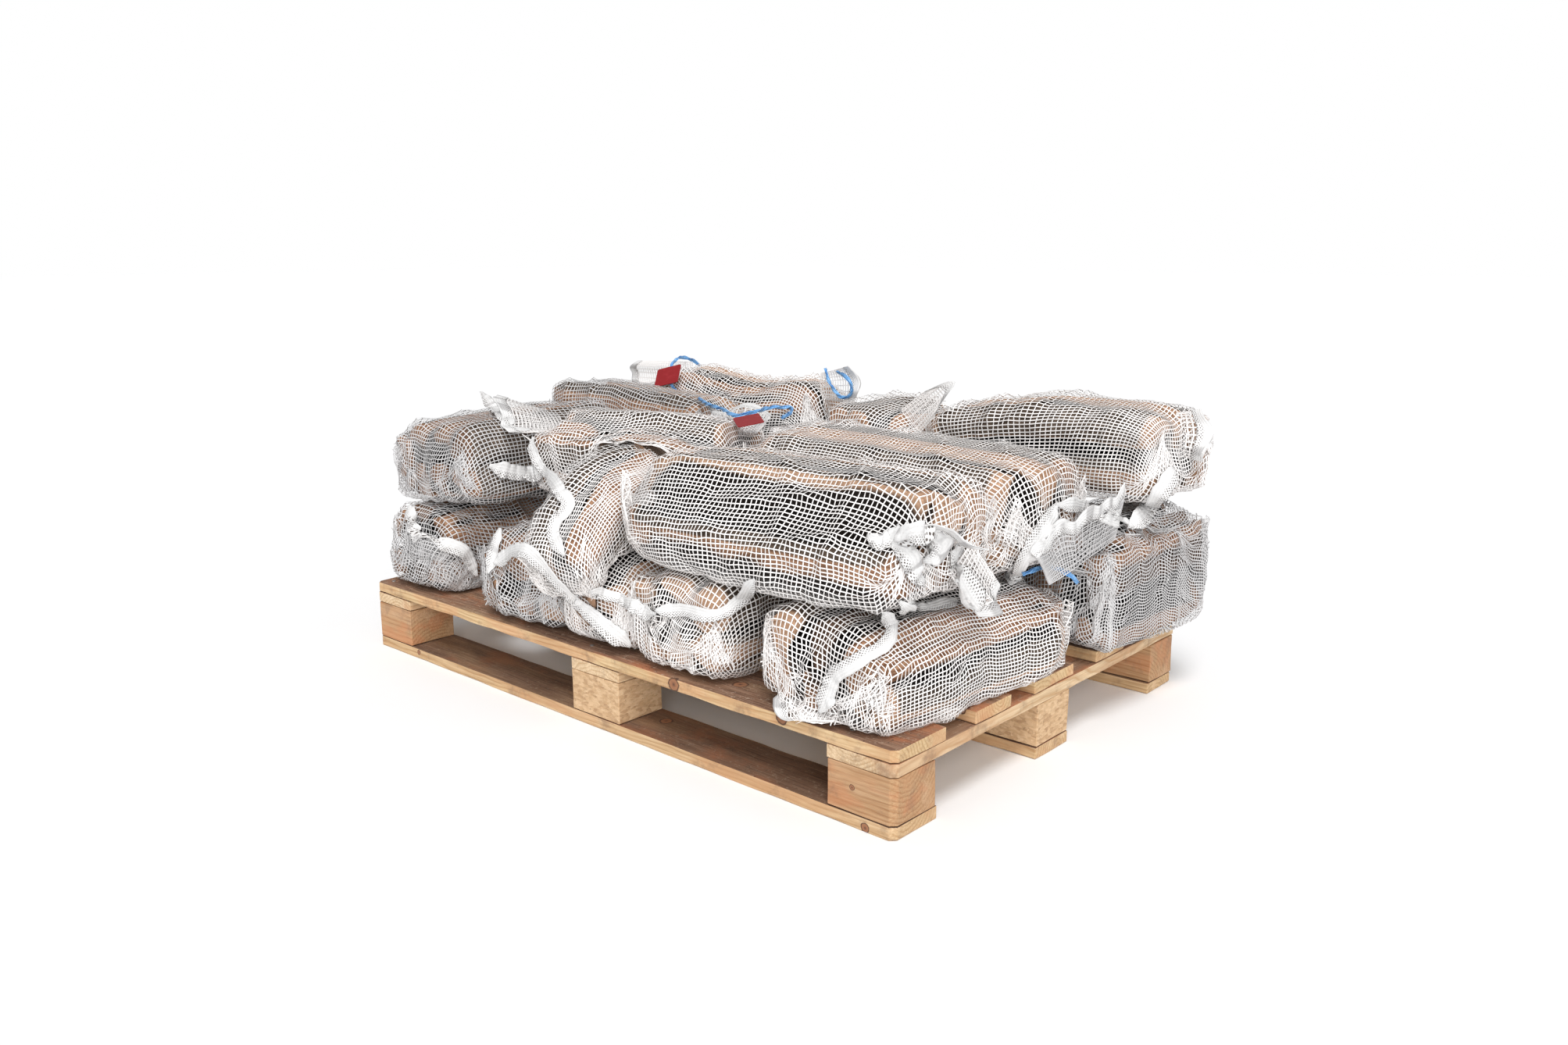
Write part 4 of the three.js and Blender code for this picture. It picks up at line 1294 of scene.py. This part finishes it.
def outward(grid):
    """Which way a closed grid looks at each of its points."""
    along = np.gradient(grid, axis=0)
    across = np.roll(grid, -1, axis=1) - np.roll(grid, 1, axis=1)
    return unit(np.cross(along, across))


def draped_net(sack, logs_piece, room, others):
    """The crossings of the threads of one sack's net, and its length and girth laid flat."""
    logs_tree = tree_of(logs_piece.data)
    grid = net_start(sack, settled_logs(sack), room)
    grid, length, girth = drape(grid, logs_tree, room, sack["seed"])
    rows = int(round(length / ROW_PITCH / 2))
    columns = int(round(girth / THREAD_PITCH / 2))
    half = crossings_on(grid, rows, columns, sack["seed"])
    wrinkles = wander(half * np.array([1, 1, 1.4]), 150.0, sack["seed"] + 500, 14)
    room_spots, room_normals = nearest_faces(room, half)
    half = half + room_normals * (WRINKLE * wrinkles)[..., None]
    half = push_in(half, room_spots, room_normals, NET_OFF_NEIGHBOUR)
    for _ in range(2):
        spots, normals = nearest_faces(logs_tree, half)
        half = push_out(half, spots, normals, NET_OFF_LOG * 0.9)
    inside = ((room_spots - half) * room_normals).sum(axis=-1)
    other_spots, _ = nearest_faces(others, half)
    clear = np.linalg.norm(other_spots - half, axis=-1)
    spare = inside + np.clip(clear / 2 - FOLD_GAP, 0, FOLD_PAST_ROOM)
    down, round_it = np.meshgrid(np.arange(2 * rows + 1) / 2, np.arange(2 * columns) / 2, indexing="ij")
    fine = places_on(np.concatenate([half, spare[..., None]], axis=-1), down, round_it)
    spare = np.clip(fine[..., 3], 0, FOLD_HEIGHT)
    fine = fine[..., :3]
    gathered, phase = gathers(down / rows, round_it / columns, sack["seed"])
    pleats = GATHER_HEIGHT * gathered * (0.5 - 0.5 * np.cos(phase)) ** 2
    lift = np.minimum(np.maximum(FOLD_HEIGHT * fold_shape(fine, 60 + sack["seed"]), pleats), spare)
    return fine + outward(fine) * lift[..., None], length, girth


def flap_points(flap, down, round_it, seed):
    """Points of a flap, a flat tube of net. down is from 0 at its root to 1 at its hem, and round_it from
    0 to 1 round the tube. The two sides close on each other at the hem, and its corners hang back."""
    start, end = np.array(flap["start"]), np.array(flap["end"])
    length = np.linalg.norm(end - start)
    ahead = (end - start) / length
    across = unit(np.cross(ahead, flap["face"]))
    out = np.cross(across, ahead)
    down, round_it = np.meshgrid(down, round_it, indexing="ij")
    side = 0.5 * np.cos(2 * math.pi * round_it)
    side = np.sign(side) * 0.5 * np.abs(2 * side) ** 0.8
    width = flap["root"] + (flap["hem"] - flap["root"]) * down
    ripple = FLAP_RIPPLE * down * np.sin(side * 2 * math.pi + FLAP_RIPPLE_START)
    spot = np.stack([side * width * 45, down * length * 30, np.sin(2 * math.pi * round_it)], axis=-1)
    flat_spot = np.stack([side * width * 150, down * length * 26], axis=-1)
    crumple = FLAP_CRUMPLE * (0.5 * wander(spot, 1.0, seed, 10) + down * wander(flat_spot, 1.0, seed + 3, 10))
    closed = 1 - FLAP_CLOSING * np.clip(down, 0, 1) ** 2
    level = ripple + crumple + FLAP_HALF_THICKNESS * closed * np.sin(2 * math.pi * round_it)
    point = flap.get("point", FLAP_POINT)
    edge = down * length * (1 - point * down * np.abs(2 * side) ** 2)
    edge += FLAP_RAGGED * down * wander(flat_spot[..., :1] * np.ones(2) * 0.5, 0.7, seed + 1, 8)
    return (start + ahead * edge[..., None] + across * (side * width * 0.96)[..., None]
            + out * level[..., None])


def flap_net(flap, seed):
    """The crossings of a flap's threads, up to its band, and its area of tape."""
    length = np.linalg.norm(np.array(flap["end"]) - np.array(flap["start"])) - BAND_WIDTH * BAND_PAST_NET
    whole = length + BAND_WIDTH * BAND_PAST_NET
    girth = flap["root"] + flap["hem"]
    rows = 2 * max(1, int(round(length / ROW_PITCH / 2)))
    columns = 2 * int(round(girth / THREAD_PITCH / 2))
    grid = flap_points(flap, np.linspace(0, length / whole, rows + 1), np.arange(columns) / columns, seed)
    return grid[:, ::-1], THREAD_WIDTH * (length * columns + girth * rows)


def band_mesh(name, grid, closed):
    """A band from a grid of points, along it and across it, with its weave and how deep its pleats lie, for
    their painted shade. A closed one runs round a flap."""
    if closed:
        grid = np.concatenate([grid, grid[:1]], axis=0)
    count, wide = grid.shape[:2]
    bm = bmesh.new()
    bmesh.ops.create_grid(bm, x_segments=wide - 1, y_segments=count - 1, size=1)
    mesh = to_mesh(bm, name)
    move_vertices(mesh, grid.reshape(-1, 3))
    along = np.repeat(run_along(grid[:, wide // 2]), wide)
    across = np.tile(np.linspace(0, BAND_WIDTH, wide), count)
    weave = np.stack([along, across, np.zeros_like(along)], axis=1)
    set_vectors(mesh, "weave", weave)
    padded = np.pad(grid, ((2, 2), (0, 0), (0, 0)), mode="edge")
    around = (padded[4:] + padded[:-4]) / 2 - grid
    normal = unit(np.cross(np.gradient(grid, axis=0), np.gradient(grid, axis=1)))
    # How deep each point lies in a pleat, read as painted shade.
    hollow = (around * normal).sum(axis=-1) * (-1 if closed else 1) / PLEAT_SHADE
    set_numbers(mesh, "hollow", hollow)
    return mesh


def finish_band(mesh, name, material):
    piece = finish_piece(mesh, name, material)
    wall = piece.modifiers.new("thickness", "SOLIDIFY")
    wall.thickness = BAND_THICKNESS
    wall.offset = 0
    return piece


def flap_band(flap, name, seed, material):
    """The dense band round the end of a flap."""
    whole = np.linalg.norm(np.array(flap["end"]) - np.array(flap["start"]))
    down = np.linspace(1 - BAND_WIDTH / whole, 1, 8)
    count = int((flap["root"] + flap["hem"]) / BAND_CELL)
    grid = flap_points(flap, down, np.arange(count) / count, seed)
    return finish_band(band_mesh(name, grid.transpose(1, 0, 2)[::-1], True), name, material)


def nearest_of(trees, points):
    """The nearest place and normal on any of several surfaces."""
    found = [nearest_faces(tree, points) for tree in trees]
    gaps = np.stack([np.linalg.norm(points - spots, axis=-1) for spots, _ in found])
    first = gaps.argmin(axis=0)[None, ..., None]
    spots = np.take_along_axis(np.stack([spots for spots, _ in found]), first, axis=0)[0]
    normals = np.take_along_axis(np.stack([normals for _, normals in found]), first, axis=0)[0]
    return spots, normals


def seen_band(hem, name, seed, trees, material):
    """A band that lies on the nets along a line of pixels, with pleats and a loose edge."""
    dense = seen_path(trees, hem["pixels"])
    path = ease(even_along(dense, int(line_length(dense) / BAND_CELL) + 1), 4)
    _, out = nearest_of(trees, path)
    towards = unit(np.array(CAMERA_PLACE) - path)
    out = unit(ease(out, 14) + 0.8 * towards)
    ahead = unit(np.gradient(path, axis=0))
    side = unit(ease(unit(np.cross(out, ahead)), 6))
    out = np.cross(ahead, side)
    run = np.arange(len(path)) * BAND_CELL
    width = hem.get("width", BAND_WIDTH)
    across = np.linspace(-0.5, 0.5, 9)
    run_grid, across_grid = np.meshgrid(run, across, indexing="ij")
    spot = np.stack([run_grid * 60, across_grid * 1.6], axis=-1)
    ruffle = np.stack([run_grid * 2 * math.pi / PLEAT_SPACING, across_grid * 2.2], axis=-1)
    pleats = wander(ruffle, 1.0, seed, 8)
    loose = 0.25 + 1.1 * np.abs(across_grid)
    level = hem.get("pleat", PLEAT) * pleats * loose + BAND_CURL * wander(spot, 0.8, seed + 1, 8)
    slide = BAND_SLIDE * wander(ruffle, 0.8, seed + 7, 6)
    edges = (0.94 + 0.13 * wander(spot[:, :, :1] * np.ones(2), 0.6, seed + 2, 6)
             + 0.05 * wander(spot[:, :, :1] * np.ones(2), 3.5, seed + 5, 8))
    ends = np.clip(np.minimum(run_grid, run[-1] - run_grid) / BAND_TAPER, 0.15, 1) ** 0.7
    reach = across_grid * width * edges * ends
    grid = (path[:, None] + side[:, None] * reach[..., None] + ahead[:, None] * slide[..., None]
            + out[:, None] * (BAND_OFF_NET + BAND_LIFT + level)[..., None])
    spots, normals = nearest_of(trees, grid)
    grid = push_out(grid, spots, normals, BAND_OFF_NET)
    grid = bring_forward(grid, trees, BAND_OFF_NET)
    grid[1:-1, 1:-1] = (grid[1:-1, 1:-1] * 2 + grid[:-2, 1:-1] + grid[2:, 1:-1]
                        + grid[1:-1, :-2] + grid[1:-1, 2:]) / 6
    grid = bring_forward(grid, trees, BAND_OFF_NET * 0.7)
    return finish_band(band_mesh(name, grid, False), name, material)


def add_sacks():
    """Every sack's logs, net and bands. The bands that the photograph shows come last, because they lie on
    the nets of several sacks."""
    white = white_thread("white_thread", (0.96, 0.935, 0.92), (0.87, 0.845, 0.83))
    # Painted shade: grey thread for the nets of the sacks that lie in shade.
    dull = white_thread("shade_painted_thread", (0.66, 0.65, 0.65), (0.54, 0.53, 0.53))
    band = white_band()
    wood = olive_wood()
    template = log_template()
    nets = {}
    trees = {}
    for sack in SACKS:
        name = sack["name"]
        room = tree_of(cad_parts["sack_" + name].data)
        logs_piece = add_logs(sack, template, wood, room)
        others = tree_of_all([node for key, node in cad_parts.items() if key != "sack_" + name])
        crossings, length, girth = draped_net(sack, logs_piece, room, others)
        trees[name] = [surface_tree(crossings)]
        fit_logs(logs_piece, trees[name][0])
        tape = THREAD_WIDTH * (length * crossings.shape[1] + girth * (crossings.shape[0] - 1))
        sheets = [crossings]
        hems = []
        for number, flap in enumerate(FLAPS.get(name, [])):
            flap_grid, flap_tape = flap_net(flap, 40 * sack["seed"] + number)
            sheets.append(flap_grid)
            trees[name].append(surface_tree(flap_grid))
            tape += flap_tape
            hems.append(flap_band(flap, "hem_%s_%d" % (name, number), 40 * sack["seed"] + number, band))
        thread = dull if name in SHADE_PAINTED_NETS else white
        mesh = woven_mesh("net_" + name, sheets)
        piece = finish_piece(mesh, "net_" + name, thread, smooth=False)
        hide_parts("sack_" + name)
        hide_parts("sack_" + name)
        nets[name] = dict(piece=piece, logs=logs_piece, flat=(girth, length), area=tape, hems=hems)
    for number, (hem_name, hem) in enumerate(HEMS.items()):
        on = [tree for name in hem["on"] for tree in trees[name]]
        piece = seen_band(hem, "hem_" + hem_name, 700 + number, on, band)
        nets[hem["on"][0]]["hems"].append(piece)


def sawn_mesh(name, low, high, seed):
    """A sawn piece with eased edges and a slightly uneven face. The pallet's outer corners are cut off."""
    bm = bmesh.new()
    bmesh.ops.create_cube(bm, size=1)
    size = high - low
    bmesh.ops.scale(bm, vec=size, verts=bm.verts)
    bmesh.ops.translate(bm, vec=(low + high) / 2, verts=bm.verts)
    corners = []
    for edge in bm.edges:
        a, b = (v.co for v in edge.verts)
        upright = abs(a.z - b.z) > size.z / 2
        if upright and abs(a.x) > HALF_LENGTH - 0.001 and abs(a.y) > HALF_WIDTH - 0.001:
            corners.append(edge)
    if corners:
        bevel(bm, corners, CORNER_CUT, 1)
    for axis in range(3):
        cuts = int(size[axis] / BOARD_CELL)
        for cut in range(1, cuts + 1):
            place = Vector((low + high) / 2)
            place[axis] = low[axis] + size[axis] * cut / (cuts + 1)
            way = Vector((0, 0, 0))
            way[axis] = 1
            geometry = bm.verts[:] + bm.edges[:] + bm.faces[:]
            bmesh.ops.bisect_plane(bm, geom=geometry, plane_co=place, plane_no=way)
    rims = [e for e in bm.edges if len(e.link_faces) == 2 and e.calc_face_angle() > RIM_ANGLE]
    bevel(bm, rims, SAWN_EDGE, 2)
    mesh = to_mesh(bm, name)
    places = vertex_places(mesh)
    middle = np.array((low + high) / 2)
    inward = np.sign(middle - places) * SAWN_WAVE
    shake = 0.5 + 0.5 * wander(places, 55.0, seed, 14)
    move_vertices(mesh, places + inward * np.clip(shake, 0, 2)[:, None])
    return mesh


def add_pallet():
    """Every board and block. The middle row and column of blocks are pressed chips, and the rest is pine."""
    names = sorted(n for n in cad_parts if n.split("_")[0] in ("bottom", "block", "stringer", "deck"))
    for number, node_name in enumerate(names):
        low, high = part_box(node_name)
        name = node_name + "_wood"
        mesh = sawn_mesh(name, low, high, number)
        kind = next(kind for kind in PALLET_LOOKS if node_name.startswith(kind))
        looks = PALLET_LOOKS[kind]
        if kind == "block" and ("middle" in node_name or "centre" in node_name):
            material = pressed_chips("pressed_" + node_name, number)
        else:
            choices = np.random.default_rng(900 + number)
            pith = (choices.uniform(-PITH_ACROSS, PITH_ACROSS) - (low.y + high.y) / 2,
                    choices.choice([-1, 1]) * choices.uniform(*PITH_AWAY) - (low.z + high.z) / 2)
            grain = "X"
            if kind == "stringer":
                grain = "Y"
                pith = (choices.uniform(-PITH_ACROSS, PITH_ACROSS) + (low.x + high.x) / 2, pith[1])
            material = sawn_pine(node_name, 50 + number, grain, pith, looks["fresh"], looks["worn"],
                                 looks["red"], looks.get("painted_top_shade", 0.0))
        piece = finish_piece(mesh, name, material, smooth=False)
        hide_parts(node_name)


def dull_steel():
    material, tree, shader = start_material("dull_steel", 0.45, Metallic=0.8)
    rust = noise(tree, object_place(tree), 300.0, 3.0)
    colour = blend(tree, stretch(tree, rust, 0.45, 0.7), (0.40, 0.38, 0.36), (0.20, 0.11, 0.07))
    tree.links.new(colour, shader.inputs["Base Color"])
    return material


def add_nails():
    """The heads of the nails in the deck, three where each board crosses a stringer."""
    bm = bmesh.new()
    for number in range(1, 6):
        low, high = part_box("deck_board_%d" % number)
        for stringer in ("left", "middle", "right"):
            left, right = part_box("stringer_" + stringer)
            across = (left.x + right.x) / 2
            spots = [(across - NAIL_FROM_MIDDLE, low.y + NAIL_FROM_EDGE),
                     (across + NAIL_FROM_MIDDLE, high.y - NAIL_FROM_EDGE),
                     (across, (low.y + high.y) / 2)]
            for x, y in spots:
                middle = Matrix.Translation((x, y, high.z - NAIL_RADIUS * 0.3 + NAIL_STAND))
                bmesh.ops.create_cone(bm, cap_ends=True, cap_tris=False, segments=NAIL_SIDES,
                                      radius1=NAIL_RADIUS, radius2=NAIL_RADIUS * 0.9,
                                      depth=NAIL_RADIUS * 0.6, matrix=middle)
    finish_piece(to_mesh(bm, "nails"), "nails", dull_steel(), smooth=False)


def add_floor():
    """A wide pale floor, which is no part of the pallet."""
    bm = bmesh.new()
    bmesh.ops.create_grid(bm, x_segments=1, y_segments=1, size=30)
    mesh = to_mesh(bm, "floor")
    floor = bpy.data.objects.new("floor", mesh)
    mesh.materials.append(pale_floor())
    scene.collection.objects.link(floor)


def add_lights():
    """An even white world, as bright as paper to the camera, and two soft suns."""
    world = bpy.data.worlds.new("studio")
    world.use_nodes = True
    tree = world.node_tree
    background = tree.nodes["Background"]
    background.inputs["Color"].default_value = (1, 1, 1, 1)
    seen = add_node(tree, "LightPath").outputs["Is Camera Ray"]
    tree.links.new(stretch(tree, seen, 0.0, 1.0, WORLD_LIGHT, 1.0), background.inputs["Strength"])
    scene.world = world
    for sun in SUNS:
        data = bpy.data.lights.new(sun["name"], "SUN")
        data.energy = sun["strength"]
        data.angle = math.radians(sun["softness"])
        light = bpy.data.objects.new(sun["name"], data)
        light.rotation_euler = [math.radians(angle) for angle in sun["turn"]]
        scene.collection.objects.link(light)
    scene.view_settings.view_transform = "Standard"


add_camera()
add_strings()
add_sacks()
add_pallet()
add_nails()
add_floor()
add_lights()
